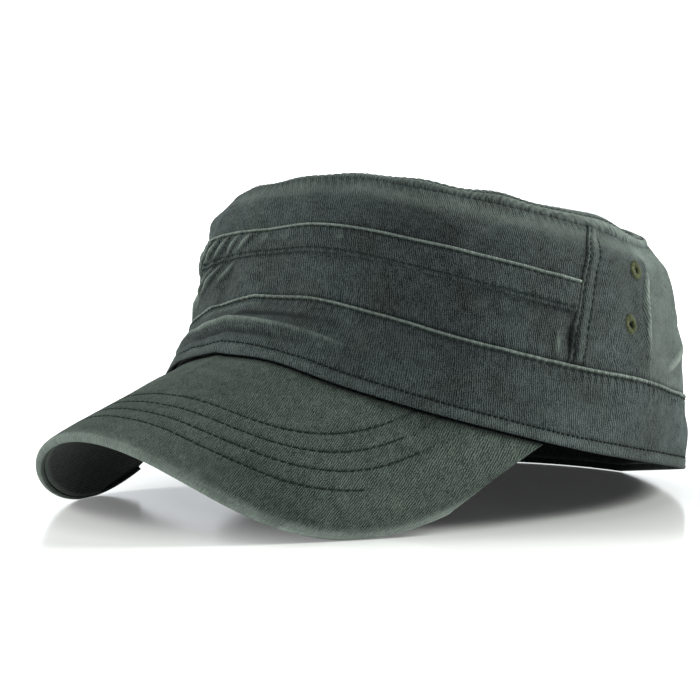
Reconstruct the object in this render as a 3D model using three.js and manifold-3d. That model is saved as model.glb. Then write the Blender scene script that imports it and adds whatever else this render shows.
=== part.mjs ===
// A washed cotton patrol cap with a flat crown and a curved visor, lying on a table.
// Millimetres, +Z up. The visor points along -Y, the wearer's left is +X, and the origin is
// on the table under the middle of the cap.
import * as THREE from 'three';
import { mergeVertices } from 'three/addons/utils/BufferGeometryUtils.js';
import Module from 'manifold-3d';

// The head opening, seen from above as the cap lies
const HEAD_LENGTH = 192;
const HEAD_WIDTH = 178;

// Heights that the sewn pieces rise, and how far the left side stands above the right
const BAND_HEIGHT = 28;
const PANEL_HEIGHT = 30;
const CROWN_HEIGHT = 20;
const SIDE_LEAN = 4.5;

// Cloth
const CLOTH = 1.2;
const BAND_CLOTH = 1.3;
const TRIM_CLOTH = 1.2;
const SWEATBAND_CLOTH = 1.0;
const LAYER_GAP = 0.3;
const LAP_RISE = 1.0;
const LAP_WIDTH = 8.5;

// The top panel
const TOP_CLOTH = 1.4;
const TOP_SAG = 1;
const RIM_ROLL = 2.2;
const RIM_SEAM_WIDTH = 7;
const RIM_SEAM_RISE = 0.6;

// The visor, a stiff sheet bent to a cone that tightens towards its front. Its length is
// taken at the middle of the hem, its overhang past the corners, and the radius of its arch
// is the corners' half span and the ease. Taper and wrap are shares gained over the run.
const VISOR_LENGTH = 60.5;
const VISOR_OVERHANG = 5.6;
const VISOR_ARCH_EASE = 15.75;
const VISOR_SLOPE = 20.4;
const VISOR_CORNER_ANGLE = 75.5;
const VISOR_TAPER = 0.34;
const VISOR_WRAP = 0.4;
const VISOR_RUN = 100;
const VISOR_SIDE_POWER = 1.93;
const VISOR_FRONT_POWER = 3.08;
const VISOR_TOP_CLOTH = 1.7;
const VISOR_UNDER_CLOTH = 1.2;
const VISOR_LIP = 2.8;
const VISOR_FLAT = 0.5;
const HEM_CLEARANCE = 0.7;
const HEM_RISE = 2.5;

// Eyelets sewn round air holes, two on each side of the back
const EYELET_RADIUS = 3.3;
const EYELET_HOLE = 1.3;
const EYELET_RISE = 0.9;
const PUNCH_LENGTH = 12;

// Plan ovals from the hem up: half length and half width as shares of the head's, the step
// towards the back as a share of the half length, how square the oval is, and its level
const RINGS = [
  { name: 'hem', long: 1.0, wide: 1.0, back: 0.0, square: 2.06, level: 0 },
  { name: 'seam', long: 0.89, wide: 0.963, back: 0.075, square: 2.19, level: 1 },
  { name: 'trim', long: 0.872, wide: 0.901, back: 0.095, square: 2.16, level: 2 },
  { name: 'shoulder', long: 0.868, wide: 0.862, back: 0.104, square: 2.1, level: 2.6 },
  { name: 'rim', long: 0.82, wide: 0.771, back: 0.107, square: 1.98, level: 3 },
];

// Heights round the cap, by degrees from the front. hem is a share of the front's height over
// the table, band, panel and crown are shares of their own heights, the two leans are shares
// of the side lean, for the hem and for all above it, and roll is a share of the rim's roll
const STATIONS = [
  { angle: 0, hem: 1.0, band: 0.664, panel: 0.743, crown: 0.745, hemLean: 0.0, lean: 0.0, roll: 0.1 },
  { angle: 15, hem: 0.942, band: 0.696, panel: 0.82, crown: 0.745, hemLean: 0.42, lean: 0.6, roll: 0.2 },
  { angle: 30, hem: 0.805, band: 0.764, panel: 0.893, crown: 0.805, hemLean: 0.6, lean: 1.0, roll: 0.5 },
  { angle: 60, hem: 0.56, band: 0.829, panel: 0.983, crown: 0.885, hemLean: 0.55, lean: 1.0, roll: 1.0 },
  { angle: 90, hem: 0.317, band: 0.94, panel: 0.967, crown: 1.0, hemLean: 0.7, lean: 0.9, roll: 0.9 },
  { angle: 120, hem: 0.143, band: 0.94, panel: 0.967, crown: 1.05, hemLean: 0.8, lean: 0.8, roll: 0.7 },
  { angle: 150, hem: 0.049, band: 0.946, panel: 0.983, crown: 1.325, hemLean: 0.5, lean: 0.5, roll: 0.6 },
  { angle: 180, hem: -0.02, band: 1.04, panel: 1.0, crown: 1.6, hemLean: 0.0, lean: 0.0, roll: 0.6 },
];

// Folds and dents of the soft wall: the place in degrees and level, the spread each way,
// the slant in levels for each degree, and the rise as a share of the band's height
const FOLDS = [
  { angle: 2, level: 0.52, wide: 24, tall: 0.2, slant: 0.003, rise: 0.085 },
  { angle: 5, level: 0.86, wide: 26, tall: 0.12, slant: 0.0, rise: -0.04 },
  { angle: -24, level: 1.45, wide: 5, tall: 0.5, slant: 0.03, rise: 0.045 },
  { angle: -12, level: 1.5, wide: 4, tall: 0.5, slant: 0.03, rise: -0.04 },
  { angle: 6, level: 1.45, wide: 7, tall: 0.4, slant: 0.02, rise: 0.03 },
  { angle: 114, level: 1.9, wide: 7, tall: 0.9, slant: -0.01, rise: -0.05 },
  { angle: 128, level: 2.1, wide: 12, tall: 0.7, slant: 0.0, rise: 0.1 },
  { angle: -128, level: 2.0, wide: 16, tall: 0.7, slant: 0.0, rise: 0.08 },
  { angle: -104, level: 1.7, wide: 8, tall: 0.8, slant: 0.01, rise: -0.04 },
  { angle: 168, level: 2.1, wide: 16, tall: 0.6, slant: 0.0, rise: 0.07 },
  { angle: -44, level: 0.1, wide: 24, tall: 0.7, slant: 0.0, rise: -0.125 },
  { angle: -45, level: 1.8, wide: 14, tall: 0.4, slant: 0.0, rise: -0.055 },
];

// Where the seams between the side and the back lie: degrees from the front at each level
const BACK_SEAM = [
  { level: 0, angle: 74 },
  { level: 1, angle: 78 },
  { level: 2, angle: 85 },
  { level: 3, angle: 94 },
];

// Levels that the pieces reach. The laps start above the head band, at their foot level.
const CROWN_FOOT_LEVEL = 0.86;
const CROWN_TOP_LEVEL = 2.99;
const LAP_FOOT_LEVEL = 1.03;
const TRIM_FOOT_LEVEL = 1.6;
const TRIM_TOP_LEVEL = 2.0;
const RIM_LEVEL = 3;
const SHOULDER_SHARE = 0.62;
const BAND_LEVELS = [0, 0.1, 0.34, 0.56, 0.76, 0.88, 1];
const CROWN_LEVELS = [
  CROWN_FOOT_LEVEL, LAP_FOOT_LEVEL, 1.215, 1.4,
  TRIM_FOOT_LEVEL, TRIM_TOP_LEVEL, 2.35, 2.655, CROWN_TOP_LEVEL,
];

// Across the lap of a rear seam: shares of its width and of its rise
const LAP_COLUMNS = [
  { lap: 0, rise: 0.3 },
  { lap: 0.06, rise: 1 },
  { lap: 0.9, rise: 1 },
  { lap: 1, rise: 0 },
];

// Rings of the top panel from the rim in: the first four are set in by shares of the felled
// seam's width, and the others are shares of the way from the middle
const RIM_INSETS = [0, 0.5, 1, 1.15];
const TOP_SHARES = [0.72, 0.5, 0.25];

// Across the visor from its root, as shares of its width, and round its edge, as shares of
// the lip's width and of the visor's thickness
const VISOR_SHARES = [1, 0.75, 0.5, 0.25];
const LIP_PROFILE = [
  { inset: 1, depth: 0 },
  { inset: 0.45, depth: 0.04 },
  { inset: 0.15, depth: 0.16 },
  { inset: 0, depth: 0.38 },
  { inset: 0, depth: 0.7 },
  { inset: 0.2, depth: 0.93 },
  { inset: 0.85, depth: 1 },
];

// How near the corners the visor's two covers end, as shares of the way from the middle, and
// how the sections crowd towards them
const VISOR_TOP_END = 0.985;
const VISOR_UNDER_END = 0.93;
const VISOR_CROWDING = 1.15;

// Eyelets: side, and place in degrees and level
const EYELETS = [
  { name: 'eyelet_left_upper', angle: 102, level: 2.42 },
  { name: 'eyelet_left_lower', angle: 97, level: 1.61 },
  { name: 'eyelet_right_upper', angle: -102, level: 2.42 },
  { name: 'eyelet_right_lower', angle: -97, level: 1.61 },
];

// An eyelet's section: shares of the way from its hole to its edge, and of its rise
const EYELET_PROFILE = [
  { out: 0, up: 0 },
  { out: 1, up: 0 },
  { out: 1, up: 0.4 },
  { out: 0.6, up: 1 },
  { out: 0.15, up: 1 },
  { out: 0, up: 0.6 },
  { out: 0, up: 0 },
];

// How finely the pieces are divided
const SIDE_COLUMNS = 48;
const BACK_COLUMNS = 40;
const BAND_COLUMNS = 68;
const TOP_COLUMNS = 54;
const VISOR_COLUMNS = 48;
const EYELET_SIDES = 12;
const REST_STEPS = 200;
const NORMAL_ANGLE_STEP = 1.5;
const NORMAL_LEVEL_STEP = 0.08;

const HALF_LENGTH = HEAD_LENGTH / 2;
const HALF_WIDTH = HEAD_WIDTH / 2;
const SLOPE = THREE.MathUtils.degToRad(VISOR_SLOPE);
const VISOR_THICKNESS = VISOR_TOP_CLOTH + LAYER_GAP + VISOR_UNDER_CLOTH;
const CROWN_FACE = -2 * LAYER_GAP;
const BAND_FACE = BAND_CLOTH - LAYER_GAP;
const TRIM_FACE = TRIM_CLOTH - LAYER_GAP;
const TOP_HALF_WIDTH = HALF_WIDTH * RINGS[4].wide;
const SEAM_GAP_ANGLE = THREE.MathUtils.radToDeg(LAYER_GAP / HALF_LENGTH);
const LAP_ANGLE = THREE.MathUtils.radToDeg(LAP_WIDTH / HALF_LENGTH);

// A smooth value from a table, by Catmull-Rom through the rows
function smoothValue(rows, keyOf, valueOf, at) {
  const last = rows.length - 1;
  const x = THREE.MathUtils.clamp(at, keyOf(rows[0]), keyOf(rows[last]));
  let i = 0;
  while (i < last - 1 && x > keyOf(rows[i + 1])) i += 1;
  const slopeAt = (k) => {
    const a = Math.max(k - 1, 0);
    const b = Math.min(k + 1, last);
    return (valueOf(rows[b]) - valueOf(rows[a])) / (keyOf(rows[b]) - keyOf(rows[a]));
  };
  const width = keyOf(rows[i + 1]) - keyOf(rows[i]);
  const t = (x - keyOf(rows[i])) / width;
  const t2 = t * t;
  const t3 = t2 * t;
  return valueOf(rows[i]) * (2 * t3 - 3 * t2 + 1) + slopeAt(i) * width * (t3 - 2 * t2 + t)
    + valueOf(rows[i + 1]) * (3 * t2 - 2 * t3) + slopeAt(i + 1) * width * (t3 - t2);
}

function station(angle, column) {
  return smoothValue(STATIONS, (row) => row.angle, (row) => row[column], Math.abs(angle));
}

function wrapAngle(angle) {
  return angle - 360 * Math.round(angle / 360);
}

// The point of an oval at an angle from the front
function ovalPoint(ring, angle) {
  const a = THREE.MathUtils.degToRad(angle);
  const power = 2 / ring.square;
  const side = Math.sign(Math.sin(a)) * Math.abs(Math.sin(a)) ** power;
  const front = Math.sign(Math.cos(a)) * Math.abs(Math.cos(a)) ** power;
  const x = HALF_WIDTH * ring.wide * side;
  const y = HALF_LENGTH * (ring.back - ring.long * front);
  return { x, y };
}

const CORNER = ovalPoint(RINGS[0], VISOR_CORNER_ANGLE);
const FRONT_REACH = CORNER.y + HALF_LENGTH;
const VISOR_REACH = FRONT_REACH / Math.cos(SLOPE) + VISOR_LENGTH;
const VISOR_ARCH = CORNER.x + VISOR_ARCH_EASE;
const VISOR_HALF_SPREAD = VISOR_ARCH * Math.asin(CORNER.x / VISOR_ARCH) + VISOR_OVERHANG;

// The radius of the visor's cone, and how much tighter it is wrapped, by the distance in
// front of the corners' line
function coneAt(forward) {
  const run = forward / VISOR_RUN;
  return { radius: VISOR_ARCH * (1 - VISOR_TAPER * run), wrap: 1 + VISOR_WRAP * run };
}

// A point of the visor's flat pattern bent into its cone: across is the distance along the
// arch at the corners' line, and lift stands off the sheet
function conePoint(across, forward, lift) {
  const cone = coneAt(forward);
  const turn = (across / VISOR_ARCH) * cone.wrap;
  const fall = forward * Math.sin(SLOPE) + cone.radius * (1 - Math.cos(turn));
  const point = new THREE.Vector3(
    cone.radius * Math.sin(turn),
    CORNER.y - forward * Math.cos(SLOPE),
    -fall,
  );
  const normal = new THREE.Vector3(
    Math.sin(turn),
    -Math.sin(SLOPE) * Math.cos(turn),
    Math.cos(SLOPE) * Math.cos(turn),
  );
  return point.addScaledVector(normal.normalize(), lift);
}

// The visor's outline on the flat pattern, from the right corner (-1) to the left (1)
function outlinePoint(u) {
  const bend = 1 - (1 - Math.abs(u)) ** 2;
  const across = VISOR_HALF_SPREAD * Math.sign(u) * bend;
  const room = Math.max(1 - bend ** VISOR_SIDE_POWER, 0);
  return { across, forward: VISOR_REACH * room ** (1 / VISOR_FRONT_POWER) };
}

// The height of the corners' line over the table, at which the visor's lowest edge just rests
function visorRest() {
  let lowest = 0;
  for (let i = 0; i <= REST_STEPS; i += 1) {
    const edge = outlinePoint(i / REST_STEPS);
    lowest = Math.min(lowest, conePoint(edge.across, edge.forward, -VISOR_THICKNESS).z);
  }
  return -lowest - VISOR_FLAT;
}

const CORNER_LINE_HEIGHT = visorRest();
const HEM_FRONT = CORNER_LINE_HEIGHT - FRONT_REACH * Math.tan(SLOPE) + HEM_RISE;

// Heights of the rings round the cap, in the order of RINGS
function ringHeight(index, angle) {
  const side = Math.sign(angle);
  const hemLean = side * SIDE_LEAN * station(angle, 'hemLean');
  const lean = side * SIDE_LEAN * station(angle, 'lean');
  const hem = HEM_FRONT * station(angle, 'hem');
  if (index === 0) return Math.max(hem + hemLean, 0);
  const seam = hem + BAND_HEIGHT * station(angle, 'band') + lean;
  if (index === 1) return seam;
  const trim = seam + PANEL_HEIGHT * station(angle, 'panel');
  const share = [0, 0, 0, SHOULDER_SHARE, 1][index];
  return trim + CROWN_HEIGHT * station(angle, 'crown') * share;
}

function ringPoint(index, angle) {
  const plan = ovalPoint(RINGS[index], angle);
  return new THREE.Vector3(plan.x, plan.y, ringHeight(index, angle));
}

// How far the folds move the wall outwards. They die out at the rim, where the top is sewn.
function foldRise(angle, level) {
  let rise = 0;
  for (const fold of FOLDS) {
    const across = wrapAngle(angle - fold.angle);
    const up = level - fold.level - fold.slant * across;
    const share = Math.exp(-((across / fold.wide) ** 2) - (up / fold.tall) ** 2);
    rise += fold.rise * BAND_HEIGHT * share;
  }
  const toRim = THREE.MathUtils.clamp(RIM_LEVEL - level, 0, 1);
  return rise * Math.sqrt(Math.sin((Math.PI / 2) * toRim));
}

// The cap's wall without folds: level 0 is the hem, 1 the band seam, 2 the trim, 3 the rim
function smoothWall(angle, level) {
  const rows = RINGS.map((ring, index) => ({ level: ring.level, point: ringPoint(index, angle) }));
  const at = (axis) => smoothValue(rows, (row) => row.level, (row) => row.point[axis], level);
  return new THREE.Vector3(at('x'), at('y'), at('z'));
}

function wallNormal(angle, level) {
  const low = Math.max(level - NORMAL_LEVEL_STEP, 0);
  const high = Math.min(level + NORMAL_LEVEL_STEP, RIM_LEVEL);
  const round = smoothWall(angle + NORMAL_ANGLE_STEP, level)
    .sub(smoothWall(angle - NORMAL_ANGLE_STEP, level));
  const up = smoothWall(angle, high).sub(smoothWall(angle, low));
  return round.cross(up).normalize();
}

// A point of the wall, moved outwards by offset
function wall(rawAngle, level, offset) {
  const angle = wrapAngle(rawAngle);
  const point = smoothWall(angle, level);
  const rise = foldRise(angle, level) + offset;
  return point.addScaledVector(wallNormal(angle, level), rise);
}

function backSeam(level) {
  return smoothValue(BACK_SEAM, (row) => row.level, (row) => row.angle, level);
}

function range(count, from, to) {
  return Array.from({ length: count + 1 }, (_, i) => from + ((to - from) * i) / count);
}

// A closed solid swept through sections. Each section is a loop that goes out along one face
// of the cloth and comes back along the other, so the ends close with pairs of its points.
function sweep(sections, wraps) {
  const size = sections[0].length;
  const positions = [];
  const faces = [];
  for (const section of sections) {
    for (const point of section) positions.push(point.x, point.y, point.z);
  }
  const steps = wraps ? sections.length : sections.length - 1;
  for (let i = 0; i < steps; i += 1) {
    const here = i * size;
    const next = ((i + 1) % sections.length) * size;
    for (let k = 0; k < size; k += 1) {
      const m = (k + 1) % size;
      faces.push([here + k, next + k, next + m], [here + k, next + m, here + m]);
    }
  }
  if (!wraps) {
    const end = (sections.length - 1) * size;
    for (let k = 0; k < size / 2 - 1; k += 1) {
      const m = size - 1 - k;
      faces.push([k, k + 1, m - 1], [k, m - 1, m]);
      faces.push([end + k, end + m - 1, end + k + 1], [end + k, end + m, end + m - 1]);
    }
  }
  return closedGeometry(positions, faces);
}

// A closed mesh with its faces turned to point out
function closedGeometry(positions, faces) {
  const corner = (i) => new THREE.Vector3(...positions.slice(3 * i, 3 * i + 3));
  let volume = 0;
  for (const [a, b, c] of faces) volume += corner(a).dot(corner(b).cross(corner(c)));
  const outward = volume < 0 ? faces.map(([a, b, c]) => [a, c, b]) : faces;
  const geometry = new THREE.BufferGeometry();
  geometry.setAttribute('position', new THREE.Float32BufferAttribute(positions, 3));
  geometry.setIndex(outward.flat());
  return geometry;
}

// A section through wall cloth between two faces, given as offsets by level
function wallSection(angleAt, levels, outer, inner) {
  const out = levels.map((level) => wall(angleAt(level), level, outer(level)));
  const back = [...levels].reverse().map((level) => wall(angleAt(level), level, inner(level)));
  return [...out, ...back];
}

// The front and sides of the crown, one piece of cloth between the two rear seams
function crownSide() {
  const sections = range(SIDE_COLUMNS, -1, 1).map((share) => {
    const angleAt = (level) => share * (backSeam(level) - SEAM_GAP_ANGLE);
    return wallSection(angleAt, CROWN_LEVELS, () => CROWN_FACE, () => CROWN_FACE - CLOTH);
  });
  return sweep(sections, false);
}

// The back of the crown, whose side edges are folded and lapped over the seams
function crownBack() {
  const left = LAP_COLUMNS.map(({ lap, rise }) => {
    return { rise, angleAt: (level) => backSeam(level) + LAP_ANGLE * lap };
  });
  const right = [...left].reverse().map(({ rise, angleAt }) => {
    return { rise, angleAt: (level) => 360 - angleAt(level) };
  });
  const middle = range(BACK_COLUMNS, 0, 1).slice(1, -1).map((share) => {
    const lapEnd = (level) => backSeam(level) + LAP_ANGLE;
    const angleAt = (level) => THREE.MathUtils.lerp(lapEnd(level), 360 - lapEnd(level), share);
    return { rise: 0, angleAt };
  });
  const sections = [...left, ...middle, ...right].map(({ rise, angleAt }) => {
    const outer = (level) => CROWN_FACE + (level > LAP_FOOT_LEVEL ? LAP_RISE * rise : 0);
    return wallSection(angleAt, CROWN_LEVELS, outer, () => CROWN_FACE - CLOTH);
  });
  return sweep(sections, false);
}

// The trim band, a strip sewn round the front between the two rear seams
function trimBand() {
  const levels = range(2, TRIM_FOOT_LEVEL, TRIM_TOP_LEVEL);
  const sections = range(SIDE_COLUMNS, -1, 1).map((share) => {
    const angleAt = (level) => share * (backSeam(level) - 2 * SEAM_GAP_ANGLE);
    return wallSection(angleAt, levels, () => TRIM_FACE, () => -LAYER_GAP);
  });
  return sweep(sections, false);
}

// The head band, sewn outside the crown's lower edge all round. Its hem is level across the
// cloth, and flat on the table at the back.
function headBand() {
  const sections = range(BAND_COLUMNS, -180, 180).slice(0, -1).map((angle) => {
    const section = wallSection(() => angle, BAND_LEVELS, () => BAND_FACE, () => -LAYER_GAP);
    section[0].z = ringHeight(0, angle);
    section[section.length - 1].z = ringHeight(0, angle);
    return section;
  });
  return sweep(sections, true);
}

// The sweatband, set a little way inside the head band
function sweatband() {
  const face = -3 * LAYER_GAP;
  const sections = range(BAND_COLUMNS, -180, 180).slice(0, -1).map((angle) => {
    return wallSection(() => angle, BAND_LEVELS.slice(1, -2), () => face, () => face - SWEATBAND_CLOTH);
  });
  return sweep(sections, true);
}

// The middle of the top panel, halfway between the front and back of the rim
function topCentre() {
  const [front, left, back, right] = [0, 90, 180, -90].map((angle) => ringPoint(4, angle));
  const middle = front.clone().add(back).multiplyScalar(0.5);
  middle.z = (front.z + left.z + back.z + right.z) / 4;
  return middle;
}

// A point of the slack top panel, whose felled border rolls over the rim: share is the share
// of the way from the middle to the rim
function topPoint(angle, share, offset) {
  const rim = wall(angle, RIM_LEVEL, LAYER_GAP);
  const point = topCentre().lerp(rim, share);
  const inset = Math.min((1 - share) * TOP_HALF_WIDTH / RIM_SEAM_WIDTH, 1);
  const roll = RIM_ROLL * station(angle, 'roll') * Math.sin((Math.PI / 2) * inset);
  const felled = RIM_SEAM_RISE * Math.sin(Math.PI * inset);
  point.z += roll + felled - TOP_SAG * (1 - share ** 2) + offset;
  return point;
}

// The top panel, an oval of cloth with its two faces closed at the middle and the rim
function crownTop() {
  const seamShare = RIM_SEAM_WIDTH / TOP_HALF_WIDTH;
  const shares = [...RIM_INSETS.map((inset) => 1 - inset * seamShare), ...TOP_SHARES];
  const angles = range(TOP_COLUMNS, -180, 180).slice(0, -1);
  const positions = [];
  const faces = [];
  const add = (point) => {
    positions.push(point.x, point.y, point.z);
    return positions.length / 3 - 1;
  };
  const grid = (offset) => angles.map((angle) => {
    return shares.map((share) => add(topPoint(angle, share, offset)));
  });
  const upper = grid(LAYER_GAP + TOP_CLOTH);
  const lower = grid(LAYER_GAP);
  const upperCentre = add(topPoint(0, 0, LAYER_GAP + TOP_CLOTH));
  const lowerCentre = add(topPoint(0, 0, LAYER_GAP));
  const last = shares.length - 1;
  for (let i = 0; i < TOP_COLUMNS; i += 1) {
    const n = (i + 1) % TOP_COLUMNS;
    for (let k = 0; k < last; k += 1) {
      faces.push([upper[i][k], upper[n][k], upper[n][k + 1]]);
      faces.push([upper[i][k], upper[n][k + 1], upper[i][k + 1]]);
      faces.push([lower[i][k], lower[n][k + 1], lower[n][k]]);
      faces.push([lower[i][k], lower[i][k + 1], lower[n][k + 1]]);
    }
    faces.push([upper[i][last], upper[n][last], upperCentre]);
    faces.push([lower[i][last], lowerCentre, lower[n][last]]);
    faces.push([upper[i][0], lower[n][0], upper[n][0]]);
    faces.push([upper[i][0], lower[i][0], lower[n][0]]);
  }
  return closedGeometry(positions, faces);
}

// The place on the visor's flat pattern that lies under the hem at an angle
function hemOnPattern(angle) {
  const foot = wall(angle, 0, -LAYER_GAP);
  const forward = (CORNER.y - foot.y) / Math.cos(SLOPE);
  const cone = coneAt(forward);
  const across = (VISOR_ARCH * Math.asin(foot.x / cone.radius)) / cone.wrap;
  return { across, forward, height: foot.z - HEM_CLEARANCE };
}

// A line across the visor from its root under the hem to its edge: u runs from corner to
// corner, and the lift takes the root from the bare cone to the hem
function visorLine(u) {
  const root = hemOnPattern(u * VISOR_CORNER_ANGLE);
  const edge = outlinePoint(Math.sign(u) * (1 - Math.sqrt(1 - Math.abs(u) ** VISOR_CROWDING)));
  const length = Math.hypot(root.across - edge.across, root.forward - edge.forward);
  const bare = conePoint(root.across, root.forward, 0).z + CORNER_LINE_HEIGHT;
  return { root, edge, length, lift: root.height - bare };
}

// A point of such a line: inset is the distance in from the edge, and depth is measured down
// from the upper face. The lowest edges lie flat on the table.
function visorPoint(line, inset, depth) {
  const share = 1 - inset / line.length;
  const across = THREE.MathUtils.lerp(line.root.across, line.edge.across, share);
  const forward = THREE.MathUtils.lerp(line.root.forward, line.edge.forward, share);
  const point = conePoint(across, forward, -depth);
  point.z = Math.max(point.z + CORNER_LINE_HEIGHT + line.lift * (1 - share) ** 2, 0);
  return point;
}

// The upper cover of the visor, which wraps round its board to the edge's foot
function visorTop() {
  const sections = range(VISOR_COLUMNS, -VISOR_TOP_END, VISOR_TOP_END).map((u) => {
    const line = visorLine(u);
    const at = (inset, depth) => visorPoint(line, Math.min(inset, line.length), depth);
    const face = VISOR_SHARES.map((share) => VISOR_LIP + (line.length - VISOR_LIP) * share);
    const lip = VISOR_LIP * Math.min(1, line.length / (2 * VISOR_LIP));
    const edge = LIP_PROFILE.map((row) => at(row.inset * lip, row.depth * VISOR_THICKNESS));
    const out = face.map((inset) => at(inset, 0));
    const back = [lip, ...[...face].reverse()].map((inset) => at(inset, VISOR_TOP_CLOTH));
    return [...out, ...edge, ...back];
  });
  return sweep(sections, false);
}

// The under cover of the visor, inside the lip of the upper one
function visorUnder() {
  const depth = VISOR_TOP_CLOTH + LAYER_GAP;
  const columns = range(VISOR_COLUMNS, -VISOR_TOP_END, VISOR_TOP_END);
  const sections = columns.filter((u) => Math.abs(u) < VISOR_UNDER_END).map((u) => {
    const line = visorLine(u);
    const face = VISOR_SHARES.map((share) => VISOR_LIP + (line.length - VISOR_LIP) * share);
    const insets = [...face, VISOR_LIP + LAYER_GAP];
    const out = insets.map((inset) => visorPoint(line, inset, depth));
    const back = [...insets].reverse().map((inset) => visorPoint(line, inset, VISOR_THICKNESS));
    return [...out, ...back];
  });
  return sweep(sections, false);
}

// An eyelet's ring, its axis along +Z and its foot at 0
function eyeletRing() {
  const profile = EYELET_PROFILE.map(({ out, up }) => {
    return new THREE.Vector2(THREE.MathUtils.lerp(EYELET_HOLE, EYELET_RADIUS, out), up * EYELET_RISE);
  });
  return new THREE.LatheGeometry(profile, EYELET_SIDES).rotateX(Math.PI / 2);
}

// Turns and moves a piece whose axis is +Z so that it stands on the back's cloth
function standOnWall(object, place, offset) {
  const axis = wallNormal(place.angle, place.level);
  object.quaternion.setFromUnitVectors(new THREE.Vector3(0, 0, 1), axis);
  object.position.copy(wall(place.angle, place.level, offset));
  return object;
}

// Cuts the eyelets' holes through the back
function cutHoles(wasm, geometry) {
  const solidOf = (source) => {
    const bare = source.clone();
    bare.deleteAttribute('normal');
    bare.deleteAttribute('uv');
    const merged = mergeVertices(bare, 1e-4);
    return new wasm.Manifold(new wasm.Mesh({
      numProp: 3,
      vertProperties: new Float32Array(merged.attributes.position.array),
      triVerts: new Uint32Array(merged.index.array),
    }));
  };
  let body = solidOf(geometry);
  for (const place of EYELETS) {
    const punch = new THREE.CylinderGeometry(EYELET_HOLE, EYELET_HOLE, PUNCH_LENGTH, EYELET_SIDES);
    punch.rotateX(Math.PI / 2);
    const holder = standOnWall(new THREE.Object3D(), place, 0);
    holder.updateMatrix();
    body = body.subtract(solidOf(punch.applyMatrix4(holder.matrix)));
  }
  const mesh = body.getMesh();
  const cut = new THREE.BufferGeometry();
  cut.setAttribute('position', new THREE.Float32BufferAttribute(mesh.vertProperties, 3));
  cut.setIndex(Array.from(mesh.triVerts));
  return cut;
}

function cloth(colour) {
  return new THREE.MeshStandardMaterial({ color: colour, roughness: 0.95, metalness: 0 });
}

function piece(name, geometry, material) {
  const mesh = new THREE.Mesh(geometry, material);
  mesh.name = name;
  return mesh;
}

const wasm = await Module();
wasm.setup();

const washedGreen = cloth(0x47514b);
const deepGreen = cloth(0x39433f);
const fadedGreen = cloth(0x525d54);
const darkUnder = cloth(0x23282c);
const oliveThread = cloth(0x4a4e33);

const pieces = new THREE.Group();
pieces.add(piece('crown_top', crownTop(), washedGreen));
pieces.add(piece('crown_side', crownSide(), washedGreen));
pieces.add(piece('crown_back', cutHoles(wasm, crownBack()), washedGreen));
pieces.add(piece('trim_band', trimBand(), deepGreen));
pieces.add(piece('head_band', headBand(), deepGreen));
pieces.add(piece('sweatband', sweatband(), darkUnder));
pieces.add(piece('visor_top', visorTop(), fadedGreen));
pieces.add(piece('visor_under', visorUnder(), darkUnder));
for (const place of EYELETS) {
  const ring = piece(place.name, eyeletRing(), oliveThread);
  pieces.add(standOnWall(ring, place, CROWN_FACE + LAYER_GAP));
}

// The origin goes under the middle of the cap
const bounds = new THREE.Box3().setFromObject(pieces);
const middle = bounds.getCenter(new THREE.Vector3());
pieces.position.set(-middle.x, -middle.y, -bounds.min.z);

const cap = new THREE.Group();
cap.add(pieces);

export default cap;
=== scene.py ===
# A washed cotton patrol cap on a pale table: a soft crown, a trim band, a head band, a
# sweatband, a stiff curved visor and sewn eyelets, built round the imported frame.
import math

import bpy
import numpy as np
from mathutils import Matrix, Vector


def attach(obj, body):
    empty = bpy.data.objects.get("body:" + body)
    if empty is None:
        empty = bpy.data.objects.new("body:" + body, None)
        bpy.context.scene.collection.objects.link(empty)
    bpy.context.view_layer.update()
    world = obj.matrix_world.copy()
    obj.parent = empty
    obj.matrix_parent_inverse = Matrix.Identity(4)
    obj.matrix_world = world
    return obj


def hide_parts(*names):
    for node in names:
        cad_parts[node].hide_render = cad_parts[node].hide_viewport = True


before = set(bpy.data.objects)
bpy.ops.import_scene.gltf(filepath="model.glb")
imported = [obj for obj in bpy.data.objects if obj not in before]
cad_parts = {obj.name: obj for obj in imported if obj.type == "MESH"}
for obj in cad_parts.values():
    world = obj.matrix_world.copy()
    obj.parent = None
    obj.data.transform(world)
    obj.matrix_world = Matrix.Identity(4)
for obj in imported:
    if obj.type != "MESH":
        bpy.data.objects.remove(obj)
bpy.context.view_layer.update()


# Camera
# It looks at the cap's front left from just above the table, with a long lens.
CAMERA_PLACE = Vector((0.79176, -0.74446, 0.145))
CAMERA_AIM = Vector((-0.01737, 0.00904, 0.0508))
CAMERA_LENS = 160.2
camera_data = bpy.data.cameras.new("camera")
camera_data.lens = CAMERA_LENS
camera_data.sensor_width = 36.0
camera = bpy.data.objects.new("camera", camera_data)
camera.location = CAMERA_PLACE
camera.rotation_mode = "QUATERNION"
camera.rotation_quaternion = (CAMERA_AIM - CAMERA_PLACE).to_track_quat("-Z", "Y")
bpy.context.scene.collection.objects.link(camera)
bpy.context.scene.camera = camera


# Crown side
# The front and sides of the crown are one piece of washed cotton twill, cut from seam to seam
# and tucked into the head band below. Its wall is given by ovals at five levels, from the hem
# at 0 over the band seam at 1 and the trim at 2 to the rim at 3, by degrees from the front.
# Sizes are in mm.
MM = 0.001
HALF_LENGTH = 96.0
HALF_WIDTH = 89.0
BAND_HEIGHT = 28.0
PANEL_HEIGHT = 30.0
CROWN_HEIGHT = 20.0
SIDE_LEAN = 4.5
SHOULDER_SHARE = 0.62
HEM_FRONT = 55.624
LAYER_GAP = 0.3
CLOTH = 1.2
CROWN_FACE = -2 * LAYER_GAP
OPENING_MIDDLE = np.array([-0.04, 27.64, 0.0])
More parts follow.
